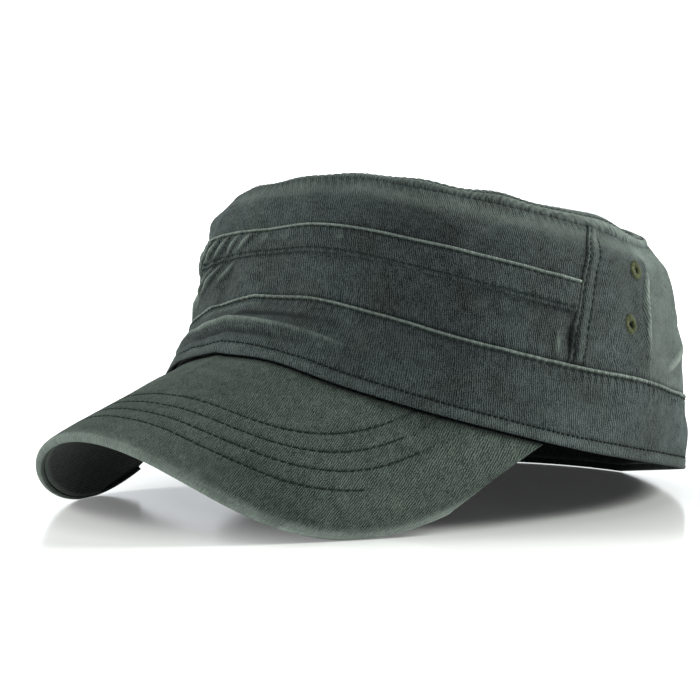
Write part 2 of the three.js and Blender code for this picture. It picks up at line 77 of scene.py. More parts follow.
# Cloth up the wall for each level, below and near the rim, and round it for each radian
WALL_RUN, RIM_RUN = 27, 16
CROWN_GIRTH = 86
NOISE_GIRTH, NOISE_SHIFT = 88, (14, 24)

RING_LEVELS = [0, 1, 2, 2.6, 3]
RINGS = [
    {"long": 1.0, "wide": 1.0, "back": 0.0, "square": 2.06},
    {"long": 0.89, "wide": 0.963, "back": 0.075, "square": 2.19},
    {"long": 0.872, "wide": 0.901, "back": 0.095, "square": 2.16},
    {"long": 0.868, "wide": 0.862, "back": 0.104, "square": 2.1},
    {"long": 0.82, "wide": 0.771, "back": 0.107, "square": 1.98},
]
STATION_ANGLES = [0, 15, 30, 60, 90, 120, 150, 180]
STATIONS = {
    "hem": [1.0, 0.942, 0.805, 0.56, 0.317, 0.143, 0.049, -0.02],
    "band": [0.664, 0.696, 0.764, 0.829, 0.94, 0.94, 0.946, 1.04],
    "panel": [0.743, 0.82, 0.893, 0.983, 0.967, 0.967, 0.983, 1.0],
    "crown": [0.745, 0.745, 0.805, 0.885, 1.0, 1.05, 1.325, 1.6],
    "hem_lean": [0.0, 0.42, 0.6, 0.55, 0.7, 0.8, 0.5, 0.0],
    "lean": [0.0, 0.6, 1.0, 1.0, 0.9, 0.8, 0.5, 0.0],
    "roll": [0.1, 0.2, 0.5, 1.0, 0.9, 0.7, 0.6, 0.6],
}
SEAM_LEVELS = [0, 1, 2, 2.4, 2.7, 3]
SEAM_ANGLES = [74, 77.6, 83.5, 85.2, 87, 91]

# Broad folds and sags of the wall. Each row gives the degrees and level, the spread round and
# up, the slant in levels for a degree, the lean in degrees for a level, and the rise in mm.
FOLDS = [
    (2, 0.52, 24, 0.2, 0.003, 0, 2.6),
    (5, 0.86, 26, 0.12, 0.0, 0, -1.12),
    (-24, 1.45, 5, 0.5, 0.03, 0, 1.26),
    (-12, 1.5, 4, 0.5, 0.03, 0, -1.12),
    (6, 1.45, 7, 0.4, 0.02, 0, 0.84),
    (114, 1.9, 7, 0.9, -0.01, 0, -1.4),
    (128, 2.1, 12, 0.7, 0.0, 0, 2.8),
    (-128, 2.0, 16, 0.7, 0.0, 0, 2.24),
    (-104, 1.7, 8, 0.8, 0.01, 0, -1.12),
    (168, 2.1, 16, 0.6, 0.0, 0, 1.96),
    (-44, 0.1, 24, 0.7, 0.0, 0, -3.5),
    (-45, 1.8, 14, 0.4, 0.0, 0, -1.54),
    (134, 2.25, 15, 0.5, 0.0, 0, -2.4),
    (132, 0.85, 20, 0.22, 0.0, 0, -1.1),
    (99, 1.95, 2.5, 0.5, 0.0, 0, -0.6),
    (122, 1.62, 8, 0.1, 0.022, 0, -0.8),
    (143, 1.5, 4, 0.5, 0.0, -10, 0.9),
    (152, 1.35, 3, 0.3, 0.0, -8, -0.7),
    (175, 1.6, 2.5, 0.5, 0.0, 4, -0.8),
    (-130, 0.5, 5, 0.3, 0.0, 0, 0.7),
    (150, 0.5, 5, 0.3, 0.0, 0, -0.8),
    (162, 0.55, 4, 0.3, 0.0, 0, 0.6),
    (112, 0.5, 4, 0.3, 0.0, 0, -0.6),
    (-150, 1.5, 3, 0.5, 0.0, 8, 0.9),
]

# Fine creases and puckers, in the same columns.
CREASES = [
    (-36, 1.78, 0.9, 0.13, 0.0, 16, 1.35),
    (-32, 1.78, 0.9, 0.14, 0.0, 18, 1.49),
    (-28, 1.8, 0.9, 0.14, 0.0, 20, 1.62),
    (-24, 1.8, 0.9, 0.15, 0.0, 22, 1.62),
    (-20, 1.8, 1.0, 0.15, 0.0, 22, 1.62),
    (-15.5, 1.8, 1.0, 0.14, 0.0, 22, 1.49),
    (-10.5, 1.8, 1.1, 0.14, 0.0, 20, 1.35),
    (-5, 1.82, 1.2, 0.13, 0.0, 18, 1.22),
    (1, 1.83, 1.3, 0.12, 0.0, 14, 0.7),
    (8, 1.83, 1.4, 0.11, 0.0, 10, 0.6),
    (-37, 1.3, 1.2, 0.22, 0.0, 26, 1.62),
    (-32, 1.32, 1.1, 0.22, 0.0, 28, 1.76),
    (-27, 1.36, 1.1, 0.2, 0.0, 30, 1.62),
    (-21, 1.42, 1.2, 0.16, 0.0, 30, 1.49),
    (-14, 1.45, 1.4, 0.13, 0.0, 26, 1.22),
    (-4, 1.3, 3.0, 0.14, 0.0, 20, 0.5),
    (-20, 2.4, 2.0, 0.3, 0.0, 6, 0.6),
    (0, 2.45, 2.4, 0.3, 0.0, 4, 0.6),
    (14, 2.4, 2.4, 0.3, 0.0, 0, 0.55),
    (31, 2.5, 3.0, 0.25, 0.0, 0, -0.45),
    (22, 1.82, 1.6, 0.1, 0.0, 8, 0.7),
    (30, 1.78, 2.0, 0.1, 0.0, 6, -0.5),
    (38, 1.8, 1.8, 0.1, 0.0, 6, 0.55),
    (46, 1.3, 3.5, 0.12, 0.01, 0, 0.5),
    (60, 1.35, 3.5, 0.12, -0.01, 0, -0.5),
    (79, 1.28, 1.2, 0.2, 0.0, 4, -1.0),
    (75, 1.2, 1.0, 0.2, 0.0, 4, 0.9),
    (105.5, 1.98, 0.8, 0.66, 0.0, 4.5, 2.0),
    (121, 1.38, 9.0, 0.07, 0.022, 0, 1.3),
    (-60, 1.5, 1.4, 0.4, 0.0, 8, 0.8),
    (-84, 1.25, 1.2, 0.25, 0.0, 4, 0.9),
    (-106, 1.95, 1.2, 0.5, 0.0, 4, 0.6),
    (-121, 1.9, 1.6, 0.6, 0.0, 6, 0.6),
    (-2, 0.63, 24, 0.07, 0.002, 0, -1.8),
    (-1, 0.45, 24, 0.035, 0.0008, 0, 1.8),
    (-2, 0.33, 22, 0.05, 0.0, 0, -1.2),
    (-8, 0.84, 20, 0.07, 0.0, 0, 0.8),
    (30, 0.42, 9, 0.04, -0.006, 0, 0.5),
    (46, 0.55, 9, 0.08, 0.0, 0, -0.5),
    (96, 0.55, 2.2, 0.2, 0.0, 4, 0.5),
]


def through(keys, values, at):
    """Smooth values through a table, by Catmull-Rom. values has a row for each key."""
    keys = np.asarray(keys, float)
    values = np.asarray(values, float).reshape(len(keys), -1)
    last = len(keys) - 1
    below = np.maximum(np.arange(last + 1) - 1, 0)
    above = np.minimum(np.arange(last + 1) + 1, last)
    slopes = (values[above] - values[below]) / (keys[above] - keys[below])[:, None]
    at = np.clip(np.asarray(at, float), keys[0], keys[-1])
    row = np.clip(np.searchsorted(keys, at, side="right") - 1, 0, last - 1)
    column = np.arange(at.size).reshape(at.shape) if values.shape[1] > 1 else 0
    width = keys[row + 1] - keys[row]
    t = (at - keys[row]) / width
    return (
        values[row, column] * (2 * t**3 - 3 * t**2 + 1)
        + slopes[row, column] * width * (t**3 - 2 * t**2 + t)
        + values[row + 1, column] * (3 * t**2 - 2 * t**3)
        + slopes[row + 1, column] * width * (t**3 - t**2)
    )


def station(angle, column):
    """A share of one of the named heights, so many degrees from the front."""
    return through(STATION_ANGLES, STATIONS[column], np.abs(angle))


def wrap(angle):
    """The same angle, from -180 to 180."""
    return angle - 360 * np.round(angle / 360)


def bell(distance, width):
    """A bell curve: 1 on a line, and less with the distance from it."""
    return np.exp(-((distance / width) ** 2))


def falling(distance, sharp):
    """Close to 1 before a line and to 0 past it."""
    return 1 / (1 + np.exp(distance * sharp))


def ring_points(ring, angle):
    """The oval of one level, as x, y and z, in mm from the middle of the head opening."""
    a = np.radians(angle)
    power = 2 / RINGS[ring]["square"]
    across = np.sign(np.sin(a)) * np.abs(np.sin(a)) ** power
    forward = np.sign(np.cos(a)) * np.abs(np.cos(a)) ** power
    side = np.sign(angle)
    hem = HEM_FRONT * station(angle, "hem")
    seam = hem + BAND_HEIGHT * station(angle, "band") + side * SIDE_LEAN * station(angle, "lean")
    trim = seam + PANEL_HEIGHT * station(angle, "panel")
    rise = CROWN_HEIGHT * station(angle, "crown")
    heights = [
        np.maximum(hem + side * SIDE_LEAN * station(angle, "hem_lean"), 0),
        seam,
        trim,
        trim + SHOULDER_SHARE * rise,
        trim + rise,
    ]
    x = HALF_WIDTH * RINGS[ring]["wide"] * across
    y = HALF_LENGTH * (RINGS[ring]["back"] - RINGS[ring]["long"] * forward)
    return x, y, heights[ring]


def smooth_wall(angle, level):
    """A point of the wall without its folds."""
    rows = [ring_points(ring, angle) for ring in range(len(RINGS))]
    return np.stack([through(RING_LEVELS, [row[k] for row in rows], level) for k in range(3)], -1)


def wall_normal(angle, level):
    """The way out of the wall without its folds."""
    around = smooth_wall(angle + 1.5, level) - smooth_wall(angle - 1.5, level)
    high, low = np.minimum(level + 0.08, 3), np.maximum(level - 0.08, 0)
    normal = np.cross(around, smooth_wall(angle, high) - smooth_wall(angle, low))
    return normal / np.linalg.norm(normal, axis=-1, keepdims=True)


def bumps(table, angle, level):
    """The rise of a table's folds, fading to none at the rim, in mm."""
    rise = np.zeros_like(angle)
    for at, height, wide, tall, slant, lean, much in table:
        across = wrap(angle - at) - lean * (level - height)
        up = level - height - slant * wrap(angle - at)
        rise += much * np.exp(-((across / wide) ** 2) - (up / tall) ** 2)
    return rise * np.sqrt(np.sin(np.pi / 2 * np.clip(3 - level, 0, 1)))


def soft_noise(x, y, size, seed, waves=14):
    """A smooth random field of about -1 to 1, with bumps of about that size."""
    draw = np.random.default_rng(seed)
    total = np.zeros_like(x)
    for turn, length, phase in zip(
        draw.uniform(0, 2 * math.pi, waves),
        size * draw.uniform(0.7, 1.6, waves),
        draw.uniform(0, 2 * math.pi, waves),
    ):
        total += np.sin(2 * math.pi * (x * math.cos(turn) + y * math.sin(turn)) / length + phase)
    return total / math.sqrt(waves)


def creases(angle, level):
    """The small relief that all the wall's layers share, in mm."""
    x = NOISE_GIRTH * np.sin(np.radians(angle)) + level * NOISE_SHIFT[0]
    y = NOISE_GIRTH * np.cos(np.radians(angle)) + level * NOISE_SHIFT[1]
    fine = bumps(CREASES, angle, level)
    lumps = 0.4 * soft_noise(x, y, 26, 1) + 0.16 * soft_noise(x, y, 9, 2)
    fade = np.clip((3 - level) / 0.15, 0, 1) * np.clip(level / 0.1, 0, 1)
    return fine + lumps * fade


def crease_wear_and_painted_light(angle, level, start=0.45):
    """The pale wear and painted highlight on the creases' ridges, and the painted shade in their
    hollows.
    """
    fine = bumps(CREASES, wrap(angle), level)
    return np.clip(fine - start, 0, 1), 1.1 * np.clip(-fine - 0.25, 0, 1)


def wall(angle, level, offset):
    """A point of the wall, moved outwards by offset from the line where the layers meet."""
    rise = bumps(FOLDS, wrap(angle), level) + creases(angle, level) + offset
    angle = wrap(angle)
    return smooth_wall(angle, level) + wall_normal(angle, level) * rise[..., None]


def back_seam(level):
    """The degrees from the front at which the rear seams lie."""
    return through(SEAM_LEVELS, SEAM_ANGLES, level)


def folded_rows(low, high, outer, inner, mm_per_level, fine, coarse):
    """A cloth section: up along the outer face, round the top fold, down and round the foot."""
    half = (outer - inner) / 2
    reach = half / mm_per_level
    turns = np.linspace(0, math.pi, 7)[1:-1]
    level = [
        np.linspace(low + reach, high - reach, fine),
        high - reach + reach * np.sin(turns),
        np.linspace(high - reach, low + reach, coarse),
        low + reach - reach * np.sin(turns),
    ]
    middle = (outer + inner) / 2
    offset = [
        np.full(fine, outer),
        middle + half * np.cos(turns),
        np.full(coarse, inner),
        middle - half * np.cos(turns),
    ]
    level, offset = np.concatenate(level), np.concatenate(offset)
    return {
        "level": level,
        "offset": offset,
        "top": (high - level) * mm_per_level,
        "foot": (level - low) * mm_per_level,
        "face": (offset - middle) / half,
    }


def grid_piece(name, columns, rows, place, ring=False):
    """A closed piece of cloth from a grid bent round its section. place gives the points in mm,
    the cloth's own coordinates in mm, the wear with painted highlights and the painted shade of
    grid lines i, j."""
    bpy.ops.object.select_all(action="DESELECT")
    bpy.ops.mesh.primitive_grid_add(x_subdivisions=columns - 1, y_subdivisions=rows, size=2)
    piece = bpy.context.active_object
    piece.name = piece.data.name = name
    mesh = piece.data
    flat = np.empty(len(mesh.vertices) * 3)
    mesh.vertices.foreach_get("co", flat)
    flat = flat.reshape(-1, 3)
    i = np.round((flat[:, 0] + 1) / 2 * (columns - 1)).astype(int)
    j = np.round((flat[:, 1] + 1) / 2 * rows).astype(int)
    points, cloth, wear_and_highlight, painted_shade = place(i, j)
    mesh.vertices.foreach_set("co", ((points + OPENING_MIDDLE) * MM).ravel())
    corner = np.empty(len(mesh.loops), int)
    mesh.loops.foreach_get("vertex_index", corner)
    layer = mesh.uv_layers.new(name="cloth")
    layer.data.foreach_set("uv", cloth[corner].ravel())
    mesh.uv_layers.remove(mesh.uv_layers[0])
    # The wear with its painted highlights, and the painted shade, stored for the cloth's material
    for title, values in (("wear_and_highlight", wear_and_highlight), ("painted_shade", painted_shade)):
        attribute = mesh.attributes.new(title, "FLOAT", "POINT")
        attribute.data.foreach_set("value", np.clip(values, 0, 1).astype(np.float32))
    bpy.ops.object.mode_set(mode="EDIT")
    bpy.ops.mesh.select_all(action="SELECT")
    bpy.ops.mesh.remove_doubles(threshold=1e-7)
    if not ring:
        bpy.ops.mesh.fill_holes(sides=0)
        bpy.ops.mesh.select_all(action="SELECT")
    bpy.ops.mesh.normals_make_consistent(inside=False)
    bpy.ops.object.mode_set(mode="OBJECT")
    bpy.ops.object.shade_smooth()
    return piece


class Wire:
    """A value in a material. Arithmetic on it adds Math nodes."""

    def __init__(self, tree, socket=None):
        self.tree, self.socket = tree, socket

    def node(self, kind, settings=None, inputs=None, output=0):
        """Adds a node with its settings and the values or links of its sockets."""
        made = self.tree.nodes.new(kind)
        for name, value in (settings or {}).items():
            setattr(made, name, value)
        for name, value in (inputs or {}).items():
            if isinstance(value, Wire):
                self.tree.links.new(value.socket, made.inputs[name])
            else:
                made.inputs[name].default_value = value
        return Wire(self.tree, made.outputs[output])

    def math(self, operation, first, second=0.0):
        settings = {"operation": operation}
        return self.node("ShaderNodeMath", settings, {0: first, 1: second})

    def __add__(self, other):
        return self.math("ADD", self, other)

    def __radd__(self, other):
        return self.math("ADD", other, self)

    def __sub__(self, other):
        return self.math("SUBTRACT", self, other)

    def __rsub__(self, other):
        return self.math("SUBTRACT", other, self)

    def __mul__(self, other):
        return self.math("MULTIPLY", self, other)

    def __rmul__(self, other):
        return self.math("MULTIPLY", other, self)

    def sine(self):
        return self.math("SINE", self)

    def clamped(self):
        return self.node("ShaderNodeClamp", None, {"Value": self})

    def mix(self, factor, first, second):
        """A colour between two, by a factor."""
        inputs = {"Factor": factor, 6: first, 7: second}
        return self.node("ShaderNodeMix", {"data_type": "RGBA"}, inputs, output=2)


def paint(red, green, blue):
    """A colour as seen on a screen, from 0 to 255, for a shader."""
    linear = [
        c / 12.92 if c <= 0.04045 else ((c + 0.055) / 1.055) ** 2.4
        for c in (red / 255, green / 255, blue / 255)
    ]
    return (*linear, 1.0)


def twill(name, deep, cool, worn, turn=-5.0, pitch=0.78, contrast=0.85):
    """Washed cotton twill: slanted ribs broken into yarns, patches faded unevenly, pale worn
    edges, painted highlights on crease ridges and painted shade in hollows. Its own coordinates
    are in mm, and turn slants the ribs."""
    material = bpy.data.materials.new(name)
    material.use_nodes = True
    tree = material.node_tree
    shader = tree.nodes["Principled BSDF"]
    start = Wire(tree)
    cloth = start.node("ShaderNodeUVMap", {"uv_map": "cloth"})
    place = start.node("ShaderNodeTexCoord", output=3)
    slant = {"Vector": cloth, "Rotation": (0, 0, math.radians(turn))}
    turned = start.node("ShaderNodeMapping", None, slant)
    across = start.node("ShaderNodeSeparateXYZ", None, {0: turned}, output=0)
    along = start.node("ShaderNodeSeparateXYZ", None, {0: turned}, output=1)

    def noise(vector, scale, detail, **others):
        inputs = {"Vector": vector, "Scale": scale, "Detail": detail, **others}
        return start.node("ShaderNodeTexNoise", None, inputs)

    waver = noise(cloth, 0.35, 3.0)
    ribs = ((across + (waver - 0.5) * 1.1) * (2 * math.pi / pitch)).sine()
    floats = ((along + across * 0.6) * (2 * math.pi / 0.62)).sine()
    stretch = {"Vector": turned, "Scale": (1.9, 0.5, 1.0)}
    streaks = noise(start.node("ShaderNodeMapping", None, stretch), 1.0, 2.0, Roughness=0.65)
    fuzz = noise(cloth, 2.6, 2.0)
    patches = noise(place, 60.0, 4.5, Roughness=0.6, Distortion=0.4)
    clouds = noise(place, 17.0, 2.5)
    wear_and_highlight = start.node("ShaderNodeAttribute", {"attribute_name": "wear_and_highlight"}, output=2)
    painted_shade = start.node("ShaderNodeAttribute", {"attribute_name": "painted_shade"}, output=2)

    mottle = ((patches - 0.5) * 2.6 + (clouds - 0.5) * 1.6 + 0.5).clamped()
    body = start.mix(mottle, deep, cool)
    washed = (0.4 + (clouds - 0.45) * 3.4 + (patches - 0.5) * 2.0).clamped() * 0.55
    body = start.mix(washed, body, worn)
    blots = noise(cloth, 0.25, 4.0)
    grain = ribs * 0.45 + streaks * 2.4 + fuzz * 4.0 + blots * 1.2 - 3.8
    yarn = (grain * contrast + 0.45).clamped()
    lit = start.mix(0.2, body, paint(150, 160, 154))
    dark = start.mix(0.72, body, paint(3, 4, 5))
    body = start.mix(yarn, dark, lit)
    # Pale where the cloth is worn, plus a painted highlight on crease ridges and on faces turned
    # to a lamp
    edge = (wear_and_highlight * (0.8 + (patches - 0.5) * 1.2 + (streaks - 0.5) * 1.2)).clamped()
    body = start.mix(edge, body, paint(142, 154, 146))
    # Painted shade: darker in hollows, stitch grooves, under raised edges and on faces hidden from
    # the lights
    hollow = (painted_shade * 0.8).clamped()
    body = start.mix(hollow, body, paint(20, 25, 26))
    tree.links.new(body.socket, shader.inputs["Base Color"])
    rough = 0.86 + (streaks - 0.5) * 0.12
    tree.links.new(rough.socket, shader.inputs["Roughness"])
    shader.inputs["Specular IOR Level"].default_value = 0.08
    shader.inputs["Sheen Weight"].default_value = 0.08
    shader.inputs["Sheen Roughness"].default_value = 0.45
    shader.inputs["Sheen Tint"].default_value = (0.8, 0.88, 0.84, 1.0)
    height = ribs * 0.5 + floats * 0.12 + (streaks - 0.5) * 0.9 + (fuzz - 0.5) * 0.5
    relief = {"Height": height, "Strength": 0.9, "Distance": 0.00016}
    normal = start.node("ShaderNodeBump", None, relief)
    tree.links.new(normal.socket, shader.inputs["Normal"])
    return material


def finish_piece(piece, material, slot, *nodes):
    """Dresses a piece and lets it stand for its nodes."""
    piece.data.materials.clear()
    piece.data.materials.append(material)
    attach(piece, "root")
    if nodes:
        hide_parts(*nodes)


DEEP_GREEN = paint(34, 42, 42)
BLUE_GREY = paint(34, 41, 52)
FADED_SAGE = paint(84, 98, 97)
crown_cloth = twill("crown_twill", DEEP_GREEN, BLUE_GREY, FADED_SAGE)

CROWN_FOOT, CROWN_RIM = 0.86, 3.0
SEAM_GAP = math.degrees(LAYER_GAP / HALF_LENGTH)
side_rows = folded_rows(CROWN_FOOT, CROWN_RIM, CROWN_FACE, CROWN_FACE - CLOTH, WALL_RUN, 112, 36)
SIDE_COLUMNS = 380


def pulled(distance, along, reach, pitch=3.1, much=0.2):
    """How a row of stitches draws the cloth into small ripples beside it, in mm."""
    ripple = np.sin(2 * math.pi * along / pitch + 1.3 * np.sin(along / 7.3))
    return much * ripple * bell(distance, reach)


def shared_dents(level, s, loose=0.12):
    """The swell under the rim and over the band seam, with the stitches' ripples, in mm."""
    rim, over_band = (3 - level) * RIM_RUN, (level - 1) * WALL_RUN
    dents = pulled(rim, s, 2.6, much=0.22) + 0.9 * bell(rim, 2.2)
    return dents + pulled(over_band, s, 5, 3.4, loose) + 0.5 * bell(over_band, 4)


def shared_wear_and_painted_light(level, angle, outside):
    """The wear with painted highlights, and the painted shade, of the side and the back, from the
    rim to the band seam.
    """
    rim, over_band = (3 - level) * RIM_RUN, np.maximum(level - 1, 0) * WALL_RUN
    ridges, hollows = crease_wear_and_painted_light(angle, level)
    # Pale wear with a painted highlight on crease ridges, and a pale strip below the rim
    wear_and_highlight = 0.8 * ridges + 0.25 * bell(rim - 3, 2.5) * outside
    # Painted shade just under the rim, in the crease hollows and above the band seam, where the
    # band's edge stands out
    return wear_and_highlight, 0.25 * bell(rim, 0.5) + hollows + 0.8 * bell(over_band, 1.0)


def side_place(i, j):
    j = j % len(side_rows["level"])
    level, offset = side_rows["level"][j], side_rows["offset"][j]
    share = np.linspace(-1, 1, SIDE_COLUMNS)[i]
    angle = share * (back_seam(level) - SEAM_GAP)
    s = np.radians(angle) * CROWN_GIRTH
    outside = np.clip(side_rows["face"][j], 0, 1)
    points = wall(angle, level, offset + shared_dents(level, s))
    wear_and_highlight, painted_shade = shared_wear_and_painted_light(level, angle, outside)
    # Painted shade along the edge by the rear seam, under the lap
    seam = (back_seam(level) - np.abs(angle)) * 1.5
    painted_shade += 0.7 * bell(seam, 0.8)
    return points, np.stack([s, level * WALL_RUN], -1), wear_and_highlight, painted_shade


crown_side = grid_piece("crown_side_cloth", SIDE_COLUMNS, len(side_rows["level"]), side_place)
finish_piece(crown_side, crown_cloth, "washed_twill", "crown_side")


# Crown back
# The back of the crown is a second piece of the same twill. Its side edges are folded under and
# lapped over the rear seams, and two rows of stitches hold each lap down.
LAP_WIDTH = 7.2
LAP_RISE = 1.0
lap_angle = math.degrees(LAP_WIDTH / HALF_LENGTH)
LAP_ROWS = (1.6, 6.1)
LAP_STEPS = np.concatenate([np.linspace(0, 0.12, 8)[:-1], np.linspace(0.12, 1.3, 26)])
MIDDLE_STEPS = np.linspace(0, 1, 300)[1:-1]


def back_place(i, j):
    j = j % len(side_rows["level"])
    level, offset = side_rows["level"][j], side_rows["offset"][j]
    laps = len(LAP_STEPS)
    last = 2 * laps + len(MIDDLE_STEPS) - 1
    mirrored = i >= laps + len(MIDDLE_STEPS)
    k = np.where(mirrored, last - i, i)
    lap = LAP_STEPS[np.minimum(k, laps - 1)]
    start = back_seam(level) + lap_angle * LAP_STEPS[-1]
    middle = MIDDLE_STEPS[np.clip(i - laps, 0, len(MIDDLE_STEPS) - 1)]
    between = start + (360 - 2 * start) * middle
    angle = np.where(k < laps, back_seam(level) + lap_angle * lap, between)
    angle = np.where(mirrored, 360 - angle, angle)
    in_lap = np.where(k < laps, lap, 2.0)
    s, t = np.radians(angle) * CROWN_GIRTH, level * WALL_RUN
    outside = np.clip(side_rows["face"][j], 0, 1)
    over_band = falling(level - 1.04, -120)
    across = in_lap * LAP_WIDTH
    edge = np.sqrt(np.clip(across / 0.6, 0, 1))
    raised = LAP_RISE * edge * falling(across - LAP_WIDTH, 1.8)
    for row, deep, wide, reach in zip(LAP_ROWS, (0.45, 0.5), (0.7, 0.8), (2.2, 2.4)):
        raised -= deep * bell(across - row, wide)
        raised += pulled(across - row, t, reach, 3.0, 0.16)
    dents = raised * outside * over_band + shared_dents(level, s, 0.14)
    points = wall(angle, level, offset + dents)
    wear_and_highlight, painted_shade = shared_wear_and_painted_light(level, angle, outside)
    # A painted highlight: the back is lightened from the crease at about 106 degrees to 150, where
    # it faces the back light
    wear_and_highlight += 0.22 * falling(106 + 4.5 * (level - 2) - angle, 1) * (angle < 150)
    wear_and_highlight += 0.4 * bell(across - 0.4, 0.45) + 0.2 * bell(across - 3.9, 1.2)
    # Painted shade on the cloth just past the lap's folded edge
    painted_shade += 0.45 * bell(across - 7.8, 1.0) + 0.3 * falling(across - 6.6, 3)
    return points, np.stack([s, t], -1), wear_and_highlight * outside, painted_shade


BACK_COLUMNS = 2 * len(LAP_STEPS) + len(MIDDLE_STEPS)
crown_back = grid_piece("crown_back_cloth", BACK_COLUMNS, len(side_rows["level"]), back_place)


def thread(name, deep, light):
    """Cotton sewing thread: two plies twisted, dull and a little uneven."""
    material = bpy.data.materials.new(name)
    material.use_nodes = True
    tree = material.node_tree
    shader = tree.nodes["Principled BSDF"]
    start = Wire(tree)
    place = start.node("ShaderNodeTexCoord", output=3)
    speckle = {"Vector": place, "Scale": 420.0, "Detail": 2.0}
    uneven = start.node("ShaderNodeTexNoise", None, speckle)
    plies = start.node("ShaderNodeTexWave", {"bands_direction": "DIAGONAL"}, {
        "Vector": place, "Scale": 900.0, "Distortion": 1.0, "Detail": 1.0,
    }, output=1)
    colour = start.mix((uneven * 1.4 - 0.2).clamped(), deep, light)
    tree.links.new(colour.socket, shader.inputs["Base Color"])
    shader.inputs["Roughness"].default_value = 0.8
    shader.inputs["Specular IOR Level"].default_value = 0.08
    relief = {"Height": plies + uneven, "Strength": 0.5, "Distance": 0.0001}
    normal = start.node("ShaderNodeBump", None, relief)
    tree.links.new(normal.socket, shader.inputs["Normal"])
    return material


def stitches(name, rows, pitch=2.6, length=2.15, width=0.5, height=0.42, seed=5):
    """One mesh of stitches along rows of points and normals in mm. Each starts as a sphere."""
    bpy.ops.object.select_all(action="DESELECT")
    bpy.ops.mesh.primitive_uv_sphere_add(segments=8, ring_count=5, radius=0.5)
    grain = bpy.context.active_object
    bpy.ops.object.mode_set(mode="EDIT")
    bpy.ops.mesh.select_all(action="SELECT")
    bpy.ops.transform.rotate(value=math.pi / 2, orient_axis="Y", center_override=(0, 0, 0))
    bpy.ops.object.mode_set(mode="OBJECT")
    shape = np.array([v.co for v in grain.data.vertices], float) * (length, width, height)
    faces = [list(p.vertices) for p in grain.data.polygons]
    bpy.data.objects.remove(grain)
    draw = np.random.default_rng(seed)
    points, polygons = [], []
    for line, normals in rows:
        steps = np.linalg.norm(np.diff(line, axis=0), axis=1)
        run = np.concatenate([[0], np.cumsum(steps)])
        at = np.arange(pitch / 2, run[-1], pitch)
        at = at + draw.uniform(-0.08, 0.08, len(at)) * pitch
        centre = np.stack([np.interp(at, run, line[:, k]) for k in range(3)], -1)
        ahead = np.stack([np.interp(at + 0.5, run, line[:, k]) for k in range(3)], -1)
        behind = np.stack([np.interp(at - 0.5, run, line[:, k]) for k in range(3)], -1)
        up = np.stack([np.interp(at, run, normals[:, k]) for k in range(3)], -1)
        along = ahead - behind
        along /= np.linalg.norm(along, axis=1, keepdims=True)
        side = np.cross(up, along)
        side /= np.linalg.norm(side, axis=1, keepdims=True)
        slant = draw.uniform(-0.12, 0.12, len(at))[:, None]
        along = along + side * slant
        for c, a, b, n in zip(centre, along, np.cross(up, along), up):
            polygons += [[v + len(points) * len(shape) for v in face] for face in faces]
            points.append(c + shape[:, :1] * a + shape[:, 1:2] * b + shape[:, 2:] * n)
    mesh = bpy.data.meshes.new(name)
    mesh.from_pydata(((np.concatenate(points) + OPENING_MIDDLE) * MM).tolist(), [], polygons)
    mesh.shade_smooth()
    piece = bpy.data.objects.new(name, mesh)
    bpy.context.scene.collection.objects.link(piece)
    return piece


def wall_row(angle, level, offset):
    """A line on the wall, with its normals."""
    level = np.broadcast_to(level, angle.shape).astype(float)
    offset = np.broadcast_to(offset, angle.shape).astype(float)
    return wall(angle, level, offset), wall_normal(wrap(angle), level)


dark_thread = thread("dark_thread", paint(22, 30, 27), paint(44, 54, 48))
seam_run = np.linspace(1.06, 2.93, 90)
lap_lines = []
for side in (1, -1):
    for across in LAP_ROWS:
        angle = side * (back_seam(seam_run) + math.degrees(across / HALF_LENGTH))
        lap_lines.append(wall_row(angle, seam_run, CROWN_FACE + LAP_RISE - 0.35))
lap_stitches = stitches("rear_seam_stitches", lap_lines, seed=11)
finish_piece(lap_stitches, dark_thread, "washed_twill")


# Eyelets
# Two air holes on each side of the back, sewn round with olive thread that is laid from the
# hole outwards in close radial stitches.
EYELETS = [
    ("eyelet_left_upper", 102, 2.42),
    ("eyelet_left_lower", 97, 1.61),
    ("eyelet_right_upper", -102, 2.42),
    ("eyelet_right_lower", -97, 1.61),
]
EYELET_MIDDLE, EYELET_THREAD, EYELET_HOLE = 2.15, 0.95, 1.1
EYELET_SPOKES = 22
PUNCH_LENGTH = 12
olive_thread = thread("olive_thread", paint(52, 58, 38), paint(112, 118, 88))


